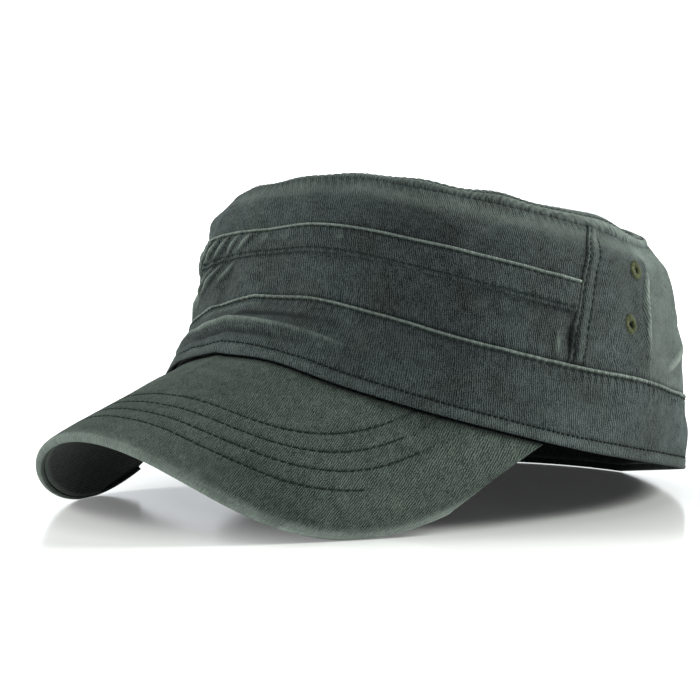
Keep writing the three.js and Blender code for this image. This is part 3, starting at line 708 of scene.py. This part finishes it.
def eyelet(name, angle, level, seed):
    """A ring of radial stitches, from a torus whose tube is drawn in between the threads."""
    bpy.ops.object.select_all(action="DESELECT")
    bpy.ops.mesh.primitive_torus_add(
        major_radius=EYELET_MIDDLE, minor_radius=EYELET_THREAD,
        major_segments=176, minor_segments=14,
    )
    ring = bpy.context.active_object
    ring.name = ring.data.name = name + "_thread"
    points = np.array([v.co for v in ring.data.vertices], float)
    draw = np.random.default_rng(seed)
    bearing = np.arctan2(points[:, 1], points[:, 0])
    spoke = bearing / (2 * math.pi) * EYELET_SPOKES
    ragged = draw.uniform(-1, 1, EYELET_SPOKES)[np.floor(spoke).astype(int) % EYELET_SPOKES]
    thick = (0.62 + 0.38 * np.abs(np.sin(math.pi * spoke)) ** 0.5) * (1 + 0.24 * ragged)
    core = np.stack([np.cos(bearing), np.sin(bearing), 0 * bearing], -1) * EYELET_MIDDLE
    points = core + (points - core) * thick[:, None] * (1.15, 1.15, 0.75)
    place = wall(np.array([float(angle)]), np.array([level]), np.array([CROWN_FACE + 0.05]))[0]
    axis = wall_normal(np.array([float(angle)]), np.array([level]))[0]
    across = np.cross((0, 0, 1), axis)
    across /= np.linalg.norm(across)
    up = np.cross(axis, across)
    world = place + points[:, :1] * across + points[:, 1:2] * up * 1.08 + points[:, 2:] * axis
    ring.data.vertices.foreach_set("co", ((world + OPENING_MIDDLE) * MM).ravel())
    ring.data.update()
    bpy.ops.object.shade_smooth()
    finish_piece(ring, olive_thread, "eyelet_thread", name)
    return place, axis


punches = [eyelet(*row, seed=31 + k) for k, row in enumerate(EYELETS)]
for place, axis in punches:
    bpy.ops.object.select_all(action="DESELECT")
    bpy.ops.mesh.primitive_cylinder_add(
        vertices=20, radius=EYELET_HOLE * MM, depth=PUNCH_LENGTH * MM,
        location=Vector((place + OPENING_MIDDLE) * MM),
        rotation=Vector(axis).to_track_quat("Z", "Y").to_euler(),
    )
    punch = bpy.context.active_object
    cut = crown_back.modifiers.new("hole", "BOOLEAN")
    cut.operation, cut.object, cut.solver = "DIFFERENCE", punch, "EXACT"
    bpy.context.view_layer.objects.active = crown_back
    bpy.ops.object.modifier_apply(modifier="hole")
    bpy.data.objects.remove(punch)
finish_piece(crown_back, crown_cloth, "washed_twill", "crown_back")


# Trim band
# A strip of the twill sewn over the side, from one rear seam round the front to the other. Its
# upper edge is folded and worn pale, and each edge is held by a row of stitches.
TRIM_FACE = 0.6
TRIM_FOOT, TRIM_TOP = 1.6, 2.0
TRIM_RUN, TRIM_GIRTH = 29, 84
TRIM_COLUMNS = 460
TRIM_ROWS = (1.6, 1.5)
STITCH_SINK = 0.22
# How far apart the pieces take their share of the twill's pattern
PATTERN_STEP = 400
trim_rows = folded_rows(TRIM_FOOT, TRIM_TOP, TRIM_FACE, -LAYER_GAP, TRIM_RUN, 26, 8)


def trim_place(i, j):
    j = j % len(trim_rows["level"])
    level, offset = trim_rows["level"][j], trim_rows["offset"][j]
    angle = np.linspace(-1, 1, TRIM_COLUMNS)[i] * (back_seam(level) - 2 * SEAM_GAP)
    s = np.radians(angle) * TRIM_GIRTH
    outside = np.clip(trim_rows["face"][j], 0, 1)
    top, foot = trim_rows["top"][j], trim_rows["foot"][j]
    from_top, from_foot = top - TRIM_ROWS[0], foot - TRIM_ROWS[1]
    dents = 0.16 * bell(top - 0.5, 0.5) - 0.34 * bell(from_top, 0.55)
    dents -= 0.25 * bell(from_foot, 0.55) + 0.4 * bell(foot, 1.2)
    dents += pulled(from_top, s, 2.4, 2.9, 0.15) + pulled(from_foot, s, 2.0, 3.1, 0.12)
    points = wall(angle, level, offset + dents * outside)
    ridges, hollows = crease_wear_and_painted_light(angle, level)
    # Pale wear on the folded top edge, and pale crease ridges that are partly worn and partly a
    # painted highlight
    wear_and_highlight = 0.9 * bell(top - 0.45, 0.6) + 0.8 * ridges
    # Painted shade in the stitch grooves, in the crease hollows and on the hidden inner face
    painted_shade = 0.55 * bell(top - 1.7, 0.5) + 0.4 * bell(from_foot, 0.5)
    painted_shade += hollows + 0.6 * (1 - outside)
    return points, np.stack([s, level * TRIM_RUN + PATTERN_STEP], -1), wear_and_highlight * outside, painted_shade


TRIM_GREEN, TRIM_BLUE = paint(30, 38, 39), paint(29, 36, 47)
trim_cloth = twill("trim_twill_cloth", TRIM_GREEN, TRIM_BLUE, FADED_SAGE)
trim_band = grid_piece("trim_band_cloth", TRIM_COLUMNS, len(trim_rows["level"]), trim_place)
finish_piece(trim_band, trim_cloth, "trim_twill", "trim_band")

trim_lines = []
for height in (TRIM_TOP - TRIM_ROWS[0] / TRIM_RUN, TRIM_FOOT + TRIM_ROWS[1] / TRIM_RUN):
    reach = back_seam(height) - 1.0
    trim_lines.append(wall_row(np.linspace(-reach, reach, 400), height, TRIM_FACE - STITCH_SINK))
trim_stitches = stitches("trim_stitches", trim_lines, seed=12)
finish_piece(trim_stitches, dark_thread, "trim_twill")


# Head band
# The band is sewn outside the crown's lower edge all round. Its upper edge is folded and worn,
# and its hem is rolled up outside and held by a row of close stitches.
BAND_FACE = 1.0
BAND_COLUMNS = 900
BAND_ROW, HEM_ROLL = 1.5, 3.6
HEM_ROW = HEM_ROLL + 0.4
BAND_GIRTH = 93
band_rows = folded_rows(0.0, 1.0, BAND_FACE, -LAYER_GAP, WALL_RUN, 46, 12)


def band_place(i, j):
    j = j % len(band_rows["level"])
    level, offset = band_rows["level"][j], band_rows["offset"][j]
    angle = -180 + 360 * i / (BAND_COLUMNS - 1)
    s = np.radians(angle) * BAND_GIRTH
    outside = np.clip(band_rows["face"][j], 0, 1)
    top, foot = band_rows["top"][j], band_rows["foot"][j]
    from_top, from_hem = top - BAND_ROW, foot - HEM_ROW
    dents = 0.2 * bell(top - 0.45, 0.5) - 0.34 * bell(from_top, 0.55)
    roll = np.sin(math.pi / 2 * np.clip(foot, 0, 1)) * falling(foot - HEM_ROLL, 4)
    dents += 0.16 * roll - 0.32 * bell(from_hem, 0.5) - 0.3 * falling(top - 9, 0.6)
    loose = 0.16 + 0.14 * (np.abs(np.abs(angle) - 120) < 40)
    dents += pulled(from_top, s, 4.2, 3.2, loose) + pulled(from_hem, s, 1.6, 2.05, 0.1)
    points = wall(angle, level, offset + dents * outside)
    level_hem = ring_points(0, wrap(angle))[2]
    bare = wall(angle, 0 * level, offset)[:, 2]
    points[:, 2] += (level_hem - bare) * np.clip(1 - level / 0.1, 0, 1)
    points[:, 2] = np.maximum(points[:, 2], 0)
    ridges, hollows = crease_wear_and_painted_light(angle, level, 0.5)
    # Pale wear on the folded top edge and the hem roll, and pale crease ridges that are partly
    # worn and partly a painted highlight
    wear_and_highlight = 0.9 * bell(top - 0.4, 0.6) + 0.08 * bell(foot - 1.8, 1.2) + 0.7 * ridges
    # Painted shade in the seam and hem stitch grooves, in the crease hollows and on the hidden
    # inner face
    painted_shade = 0.6 * bell(top - 1.6, 0.5) + 0.5 * bell(from_hem, 0.6)
    painted_shade += hollows + 0.6 * (1 - outside)
    cloth = np.stack([s, level * WALL_RUN + 2 * PATTERN_STEP], -1)
    return points, cloth, wear_and_highlight * outside, painted_shade


BAND_GREEN, BAND_BLUE = paint(30, 38, 39), paint(29, 36, 47)
band_cloth = twill("band_twill_cloth", BAND_GREEN, BAND_BLUE, FADED_SAGE, turn=-14.0)
head_band = grid_piece("head_band_cloth", BAND_COLUMNS, len(band_rows["level"]), band_place, True)
finish_piece(head_band, band_cloth, "band_twill", "head_band")

full_turn = np.linspace(-180, 180, 900)
seam_line = wall_row(full_turn, 1 - BAND_ROW / WALL_RUN, BAND_FACE - STITCH_SINK)
band_stitches = stitches("band_seam_stitches", [seam_line], seed=13)
finish_piece(band_stitches, dark_thread, "band_twill")
hem_line = wall_row(full_turn, HEM_ROW / WALL_RUN, BAND_FACE - 0.2)
hem_stitches = stitches(
    "hem_stitches", [hem_line], pitch=2.05, length=1.5, width=0.75, height=0.75, seed=14
)
hem_thread = thread("hem_thread", paint(12, 17, 16), paint(30, 38, 34))
finish_piece(hem_stitches, hem_thread, "band_twill")


# Sweatband
# A dark band of smoother cotton inside the head band. It is sewn in at the hem and reaches
# three quarters of the way up to the band's seam.
SWEAT_FACE, SWEAT_BACK = -0.9, -1.9
SWEAT_FOOT, SWEAT_TOP, SWEAT_GIRTH = 0.1, 0.76, 90
SWEAT_COLUMNS = 500
sweat_rows = folded_rows(SWEAT_FOOT, SWEAT_TOP, SWEAT_FACE, SWEAT_BACK, WALL_RUN, 16, 26)


def sweat_place(i, j):
    j = j % len(sweat_rows["level"])
    level, offset = sweat_rows["level"][j], sweat_rows["offset"][j]
    angle = -180 + 360 * i / (SWEAT_COLUMNS - 1)
    points = wall(angle, level, offset)
    s = np.radians(angle) * SWEAT_GIRTH
    # Pale wear on the folded foot, and painted shade along the top edge
    wear_and_highlight, painted_shade = 0.3 * bell(sweat_rows["foot"][j], 0.8), 0.2 * bell(sweat_rows["top"][j], 0.8)
    return points, np.stack([s, level * WALL_RUN + 3 * PATTERN_STEP], -1), wear_and_highlight, painted_shade


# The dark cloth is darkened further here, a painted shade for the inside of the cap
SWEAT_COLOURS = paint(10, 13, 16), paint(9, 12, 15), paint(22, 27, 30)
sweat_cloth = twill("sweatband_cloth", *SWEAT_COLOURS, pitch=0.6, contrast=0.4)
SWEAT_PROFILE = len(sweat_rows["level"])
sweatband = grid_piece("sweatband_lining", SWEAT_COLUMNS, SWEAT_PROFILE, sweat_place, True)
finish_piece(sweatband, sweat_cloth, "sweatband_twill", "sweatband")


# Crown top
# An oval of twill sewn round the rim. Its border is felled and rolls over the edge, with two
# rows of stitches, and the cloth between sags a little.
TOP_CLOTH = 1.4
TOP_SAG = 1.0
RIM_ROLL = 2.2
BORDER = 7.0
TOP_HALF_WIDTH = HALF_WIDTH * RINGS[4]["wide"]
TOP_GIRTH = 80
TOP_COLUMNS = 460
quarters = np.stack(ring_points(4, np.array([0.0, 90.0, 180.0, -90.0])), -1)
top_centre = (quarters[0] + quarters[2]) / 2
top_centre[2] = quarters[:, 2].mean()
BORDER_ROWS = (1.7, 5.6)


def top_relief(angle, inset, x, y):
    """The border's folds and stitch grooves and the slack of the middle, in mm."""
    s, bend = np.radians(angle) * TOP_GIRTH, np.radians(angle)
    relief = 0.75 * (1 - bell(inset, 0.7)) * falling(inset - BORDER + 0.2, 2.5)
    for row in BORDER_ROWS:
        relief -= 0.34 * bell(inset - row, 0.55)
        relief += pulled(inset - row, s, 2.4, 3.0, 0.13)
    uneven = soft_noise(TOP_GIRTH * np.sin(bend), TOP_GIRTH * np.cos(bend), 34, 7)
    relief += 0.6 * uneven * bell(inset - 4, 8)
    front = np.exp(-(((wrap(angle) + 16) / 48) ** 4))
    relief -= 1.7 * front * np.exp(-((inset / 11) ** 4))
    rear = bell(np.abs(wrap(angle)) - 103, 16)
    relief += 1.6 * rear * np.sin(math.pi / 2 * np.clip(inset / 5, 0, 1)) * bell(inset, 14)
    middle = np.clip((inset - 6) / 12, 0, 1)
    relief += middle * (0.7 * soft_noise(x, y, 46, 8) + 0.22 * soft_noise(x, y, 12, 9))
    return relief


def top_point(angle, inset, offset, relief=0.0):
    """A point of the top by its distance in from the rim."""
    rim = wall(angle, np.full_like(angle, 3.0), np.full_like(angle, LAYER_GAP))
    share = 1 - inset / TOP_HALF_WIDTH
    point = top_centre + (rim - top_centre) * share[:, None]
    rolled = np.sin(math.pi / 2 * np.clip(inset / BORDER, 0, 1))
    rise = RIM_ROLL * station(wrap(angle), "roll") * rolled - TOP_SAG * (1 - share**2)
    point[:, 2] += rise + offset + relief
    return point


half_top = TOP_CLOTH / 2
turns = np.linspace(0, math.pi, 9)[1:-1]
top_insets = np.concatenate([
    np.linspace(TOP_HALF_WIDTH, 9, 42), np.linspace(8.6, half_top, 22),
    half_top - half_top * np.sin(turns),
    np.linspace(half_top, TOP_HALF_WIDTH, 16),
])
top_offsets = np.concatenate([
    np.full(64, LAYER_GAP + TOP_CLOTH), LAYER_GAP + half_top + half_top * np.cos(turns),
    np.full(16, LAYER_GAP),
])


def top_place(i, j):
    angle = -180 + 360 * i / (TOP_COLUMNS - 1)
    inset, offset = top_insets[j], top_offsets[j]
    flat = top_point(angle, inset, offset)
    outside = np.clip((offset - LAYER_GAP) / TOP_CLOTH, 0, 1)
    relief = top_relief(angle, inset, flat[:, 0], flat[:, 1])
    edge = np.clip((TOP_HALF_WIDTH - inset) / 6, 0, 1)
    sewn = -1.7 * (1 - outside) * bell(inset - 1.2, 3)
    points = top_point(angle, inset, offset, relief * edge * outside + sewn)
    wear_and_highlight = 0.55 * bell(inset - 0.9, 1.0) + 0.35 * bell(inset - 3.7, 1.4)
    wear_and_highlight += 0.3 * bell(inset - 6.8, 0.5)
    # Painted shade in the border's stitch grooves and on the underside
    painted_shade = sum(0.5 * bell(inset - row, 0.5) for row in BORDER_ROWS)
    painted_shade = painted_shade * outside + 0.1 * (1 - outside)
    return points, flat[:, :2] + (0, 4 * PATTERN_STEP), wear_and_highlight * outside, painted_shade


top_cloth = twill("crown_top_twill", DEEP_GREEN, BLUE_GREY, FADED_SAGE, turn=4.0)
crown_top = grid_piece("crown_top_cloth", TOP_COLUMNS, len(top_insets) - 1, top_place, True)
finish_piece(crown_top, top_cloth, "washed_twill", "crown_top")

border_lines = []
for row in BORDER_ROWS:
    inset = np.full(900, row)
    flat = top_point(full_turn, inset, LAYER_GAP + TOP_CLOTH)
    relief = top_relief(full_turn, inset, flat[:, 0], flat[:, 1])
    line = top_point(full_turn, inset, LAYER_GAP + TOP_CLOTH + 0.08, relief)
    inner = top_point(full_turn, inset + 0.8, LAYER_GAP + TOP_CLOTH + 0.08, relief)
    along = np.gradient(line, axis=0)
    normals = np.cross(inner - line, along)
    normals *= np.sign(normals[:, 2:])
    border_lines.append((line, normals / np.linalg.norm(normals, axis=1, keepdims=True)))
border_stitches = stitches("rim_stitches", border_lines, seed=15)
finish_piece(border_stitches, dark_thread, "washed_twill")


# Visor upper cover
# A stiff sheet bent to a cone that tightens towards its front. The cloth is quilted to the
# board by four rows of stitches along the edge, and wraps round the edge.
# The cone's line: where it starts, how it falls, and how its radius and bend change forwards
CORNER_Y, CORNER_HEIGHT = -25.0258, 79.5194
VISOR_SLOPE = math.radians(20.4)
VISOR_REACH, VISOR_ARCH, VISOR_HALF_SPREAD = 136.2235, 101.9964, 108.3773
VISOR_CORNER = 75.5
VISOR_TAPER, VISOR_WRAP, VISOR_RUN = 0.34, 0.4, 100.0
VISOR_SIDE_POWER, VISOR_FRONT_POWER = 1.93, 3.08
VISOR_CLOTH, VISOR_THICK, VISOR_LIP = 1.7, 3.2, 2.8
LIP_STEPS = [0, 1, 2, 3, 4, 5, 6]
LIP_INSETS = [1.0, 0.45, 0.15, 0.0, 0.0, 0.2, 0.85]
LIP_DEPTHS = [0.0, 0.04, 0.16, 0.38, 0.7, 0.93, 1.0]
VISOR_ROWS = (14.7, 20.75, 26.8, 32.85)
ROW_REACH = 86.0
ROOT_DROP = 0.7
VISOR_COLUMNS = 420
LUMP_SIZE, LUMP_RISE = 30, 0.25


def cone_at(forward):
    """The cone's radius so far forward, and how much tighter it is bent than at its root."""
    run = forward / VISOR_RUN
    return VISOR_ARCH * (1 - VISOR_TAPER * run), 1 + VISOR_WRAP * run


def cone_point(across, forward, lift):
    """A point of the visor's flat pattern bent into its cone."""
    radius, tight = cone_at(forward)
    turn = across / VISOR_ARCH * tight
    fall = forward * math.sin(VISOR_SLOPE) + radius * (1 - np.cos(turn))
    point = np.stack(
        [radius * np.sin(turn), CORNER_Y - forward * math.cos(VISOR_SLOPE), -fall], -1
    )
    normal = np.stack([
        np.sin(turn), -math.sin(VISOR_SLOPE) * np.cos(turn), math.cos(VISOR_SLOPE) * np.cos(turn)
    ], -1)
    normal /= np.linalg.norm(normal, axis=-1, keepdims=True)
    return point + normal * lift[..., None], normal


def visor_line(u):
    """A line across the visor from its root under the hem to its edge."""
    foot = wall(u * VISOR_CORNER, 0 * u, 0 * u - LAYER_GAP)
    root_forward = (CORNER_Y - foot[:, 1]) / math.cos(VISOR_SLOPE)
    radius, tight = cone_at(root_forward)
    root_across = VISOR_ARCH * np.arcsin(foot[:, 0] / radius) / tight
    v = np.sign(u) * (1 - np.sqrt(1 - np.abs(u) ** 1.15))
    bend = 1 - (1 - np.abs(v)) ** 2
    across = VISOR_HALF_SPREAD * np.sign(v) * bend
    room = np.maximum(1 - bend**VISOR_SIDE_POWER, 0)
    forward = VISOR_REACH * room ** (1 / VISOR_FRONT_POWER)
    length = np.hypot(root_across - across, root_forward - forward)
    bare = cone_point(root_across, root_forward, 0 * u)[0][:, 2] + CORNER_HEIGHT
    return {
        "root": np.stack([root_across, root_forward], -1), "edge": np.stack([across, forward], -1),
        "length": length, "lift": foot[:, 2] - ROOT_DROP - bare,
    }


def visor_point(line, inset, depth):
    """A point of such lines by the distance in from the edge and down from the upper face."""
    share = 1 - np.minimum(inset, line["length"]) / line["length"]
    flat = line["root"] + (line["edge"] - line["root"]) * share[:, None]
    point, normal = cone_point(flat[:, 0], flat[:, 1], -depth)
    point[:, 2] += CORNER_HEIGHT + line["lift"] * (1 - share) ** 2
    point[:, 2] = np.maximum(point[:, 2], 0)
    return point, normal, flat


bend_line = 1 - (1 - np.linspace(0, 1, 400)) ** 2
edge_line = np.stack([
    VISOR_HALF_SPREAD * bend_line,
    VISOR_REACH * np.maximum(1 - bend_line**VISOR_SIDE_POWER, 0) ** (1 / VISOR_FRONT_POWER),
], -1)


def edge_distance(flat):
    """How far points of the flat pattern lie from the visor's edge, in mm."""
    parts = np.array_split(np.abs(flat), 1 + len(flat) // 3000)
    near = [np.sqrt(((part[:, None] - edge_line) ** 2).sum(-1).min(1)) for part in parts]
    return np.concatenate(near)


def visor_lines(u):
    """The visor's lines up to a share of its spread each way, to be picked by number."""
    lines = visor_line(np.linspace(-u, u, VISOR_COLUMNS))
    return lambda i: {name: values[i] for name, values in lines.items()}


def quilt(away, across, run):
    """The grooves of the stitch rows and the cloth's ripples beside them, in mm."""
    relief = np.zeros_like(away)
    for row in VISOR_ROWS:
        relief -= 0.3 * bell(away - row, 0.6)
        relief += pulled(away - row, run, 1.8, 2.7, 0.07)
    return relief * (np.abs(across) < ROW_REACH)


def visor_lumps(line, inset):
    """The soft unevenness of the cloth on its board, in mm."""
    lumps = LUMP_RISE * soft_noise(line["edge"][:, 0], inset, LUMP_SIZE, 21)
    return lumps * np.clip((line["length"] - inset) / 6, 0, 1)


face_shares = np.concatenate([np.linspace(1, 0.03, 84), [0.0]])
lip_run = np.linspace(0, 6, 25)[1:]
lip_insets = through(LIP_STEPS, LIP_INSETS, lip_run)
lip_depths = through(LIP_STEPS, LIP_DEPTHS, lip_run)
visor_at = visor_lines(0.985)
back_shares = np.linspace(0, 1, 16)
VISOR_PROFILE = len(face_shares) + len(lip_run) + len(back_shares)


def visor_place(i, j):
    j = j % VISOR_PROFILE
    line = visor_at(i)
    face, lip = len(face_shares), len(lip_run)
    room = np.maximum(line["length"] - VISOR_LIP, 0)
    width = VISOR_LIP * np.minimum(1, line["length"] / (2 * VISOR_LIP))
    k = np.clip(j - face, 0, lip - 1)
    b = np.clip(j - face - lip, 0, len(back_shares) - 1)
    on_face, on_lip = j < face, (j >= face) & (j < face + lip)
    inset = np.where(on_face, VISOR_LIP + room * face_shares[np.minimum(j, face - 1)], 0.0)
    inset = np.where(on_lip, lip_insets[k] * width, inset)
    inset = np.where(j >= face + lip, width + room * back_shares[b], inset)
    run = line["edge"][:, 0] * 1.25
    plain = visor_point(line, inset, 0 * inset)[2]
    away, across = edge_distance(plain), plain[:, 0]
    depth = np.where(on_face, -quilt(away, across, run), VISOR_CLOTH)
    depth = np.where(on_lip, lip_depths[k] * VISOR_THICK, depth)
    lumps = visor_lumps(line, inset) * np.clip(inset / 8, 0, 1)
    points, _, flat = visor_point(line, inset, depth - lumps * on_face)
    root = line["length"] - inset
    wear_and_highlight = 0.6 * bell(away - 0.8, 1.6) + 0.7 * bell(away, 1.6) * (np.abs(across) > 82)
    wear_and_highlight = wear_and_highlight * (on_face | on_lip)
    # Painted shade under the hem at the root, in the stitch grooves and on the faces turned under
    painted_shade = 0.9 * bell(root, 1.6) * on_face
    for row in VISOR_ROWS:
        painted_shade += 0.35 * bell(away - row, 0.5) * on_face * (np.abs(across) < ROW_REACH)
    painted_shade += 0.8 * (j >= face + lip - 4)
    return points, flat + (0, 5 * PATTERN_STEP), wear_and_highlight, painted_shade


VISOR_TURN = 24.0
VISOR_COLOURS = paint(54, 67, 57), paint(55, 63, 64), paint(106, 122, 109)
visor_cloth = twill("visor_twill_cloth", *VISOR_COLOURS, turn=VISOR_TURN)
visor_top = grid_piece("visor_top_cloth", VISOR_COLUMNS, VISOR_PROFILE, visor_place)
finish_piece(visor_top, visor_cloth, "visor_twill", "visor_top")

visor_run = visor_line(np.linspace(-0.98, 0.98, 500))
share_steps = np.linspace(0, 1, 60)
root_to_edge = (visor_run["edge"] - visor_run["root"])[:, None]
run_flat = visor_run["root"][:, None] + root_to_edge * share_steps[None, :, None]
run_away = edge_distance(run_flat.reshape(-1, 2)).reshape(len(run_flat), -1)
visor_rows = []
for row in VISOR_ROWS:
    share = np.array([np.interp(-row, -away, share_steps, left=-1) for away in run_away])
    inset = (1 - share) * visor_run["length"]
    across = visor_point(visor_run, inset, 0 * inset)[2][:, 0]
    inside = (share > 0) & (inset < visor_run["length"] - 4.5) & (np.abs(across) < ROW_REACH)
    kept = {name: values[inside] for name, values in visor_run.items()}
    inset = inset[inside]
    points, normals, _ = visor_point(kept, inset, 0.12 - visor_lumps(kept, inset))
    visor_rows.append((points, normals))
visor_stitches = stitches("visor_stitches", visor_rows, pitch=2.6, length=2.3, seed=16)
finish_piece(visor_stitches, dark_thread, "visor_twill")


# Visor under cover
# The dark cotton cover of the visor's underside. It is set inside the lip of the upper cover,
# which is turned over the board's edge.
UNDER_DEPTH = VISOR_CLOTH + LAYER_GAP
under_at = visor_lines(0.93)
under_shares = np.concatenate([np.linspace(1, 0, 40), np.linspace(0, 1, 24)])


def under_place(i, j):
    j = j % len(under_shares)
    line = under_at(i)
    start = VISOR_LIP + LAYER_GAP
    inset = start + (line["length"] - start) * under_shares[j]
    lower = j >= 40
    depth = np.where(lower, VISOR_THICK, UNDER_DEPTH)
    points, _, flat = visor_point(line, inset, depth)
    wear_and_highlight = 0.25 * bell(inset - start, 1.0)
    # A little painted shade on the cover's face turned to the floor
    return points, flat + (0, 6 * PATTERN_STEP), wear_and_highlight, 0.1 * lower


UNDER_COLOURS = paint(8, 10, 15), paint(7, 10, 15), paint(18, 22, 27)
under_cloth = twill("visor_under_cloth", *UNDER_COLOURS, turn=VISOR_TURN, contrast=0.4)
visor_under = grid_piece("visor_under_cloth", VISOR_COLUMNS, len(under_shares), under_place)
finish_piece(visor_under, under_cloth, "under_twill", "visor_under")


# Floor
# A pale, slightly glossy studio table. It glows softly, more so further out, so that it reads
# white, and hardly at all under the cap, which paints a shadow there.
bpy.ops.object.select_all(action="DESELECT")
bpy.ops.mesh.primitive_plane_add(size=12, location=(0, 0, -0.0002))
floor = bpy.context.active_object
floor.name = "studio_floor"
floor_material = bpy.data.materials.new("studio_floor_paint")
floor_material.use_nodes = True
floor_shader = floor_material.node_tree.nodes["Principled BSDF"]
floor_shader.inputs["Base Color"].default_value = (0.93, 0.93, 0.93, 1.0)
floor_shader.inputs["Roughness"].default_value = 0.13
floor_shader.inputs["Specular IOR Level"].default_value = 0.4
floor_shader.inputs["Emission Strength"].default_value = 1.0
start = Wire(floor_material.node_tree)
spot = start.node("ShaderNodeTexCoord", output=3)
moved = start.node("ShaderNodeVectorMath", {"operation": "SUBTRACT"}, {0: spot, 1: (0, 0.03, 0)})
distance = start.node("ShaderNodeVectorMath", {"operation": "LENGTH"}, {0: moved}, output=1)
away = ((distance - 0.25) * 1.5).clamped()
glow = start.mix(away, (0.42, 0.42, 0.42, 1.0), (1.0, 1.0, 1.0, 1.0))
# A painted shadow: the floor's glow falls almost to nothing under the cap
past_painted_shadow = ((distance - 0.09) * 14.0).clamped()
glow = start.mix(past_painted_shadow, (0.03, 0.03, 0.03, 1.0), glow)
floor_material.node_tree.links.new(glow.socket, floor_shader.inputs["Emission Color"])
floor.data.materials.append(floor_material)


# Light
# Two large soft lights, at the visor's side and behind the wearer's left, and a weak one above,
# in a white studio. The studio's walls look bright, but light the cloth only a little.
LIGHTS = [
    ("front_light", (-1.6, -1.1, 1.1), 0.9, 45.0),
    ("back_light", (0.9, 1.8, 1.2), 0.9, 71.0),
    ("top_light", (0.3, -0.2, 2.2), 1.8, 7.0),
]
LIT_POINT = Vector((0, 0, 0.05))
for name, place, size, watts in LIGHTS:
    data = bpy.data.lights.new(name, "AREA")
    data.shape, data.size, data.energy = "SQUARE", size, watts
    data.color = (0.97, 1.0, 0.95)
    light = bpy.data.objects.new(name, data)
    light.location = place
    light.rotation_mode = "QUATERNION"
    light.rotation_quaternion = (LIT_POINT - Vector(place)).to_track_quat("-Z", "Y")
    bpy.context.scene.collection.objects.link(light)
world = bpy.data.worlds.new("studio")
world.use_nodes = True
sky = world.node_tree.nodes["Background"]
sky.inputs["Color"].default_value = (0.93, 0.97, 1.0, 1.0)
start = Wire(world.node_tree)
camera_ray = start.node("ShaderNodeLightPath", output="Is Camera Ray")
glossy_ray = start.node("ShaderNodeLightPath", output="Is Glossy Ray")
strength = start.math("MAXIMUM", camera_ray, glossy_ray) * 0.95 + 0.17
world.node_tree.links.new(strength.socket, sky.inputs["Strength"])
bpy.context.scene.world = world
bpy.context.scene.view_settings.view_transform = "Standard"
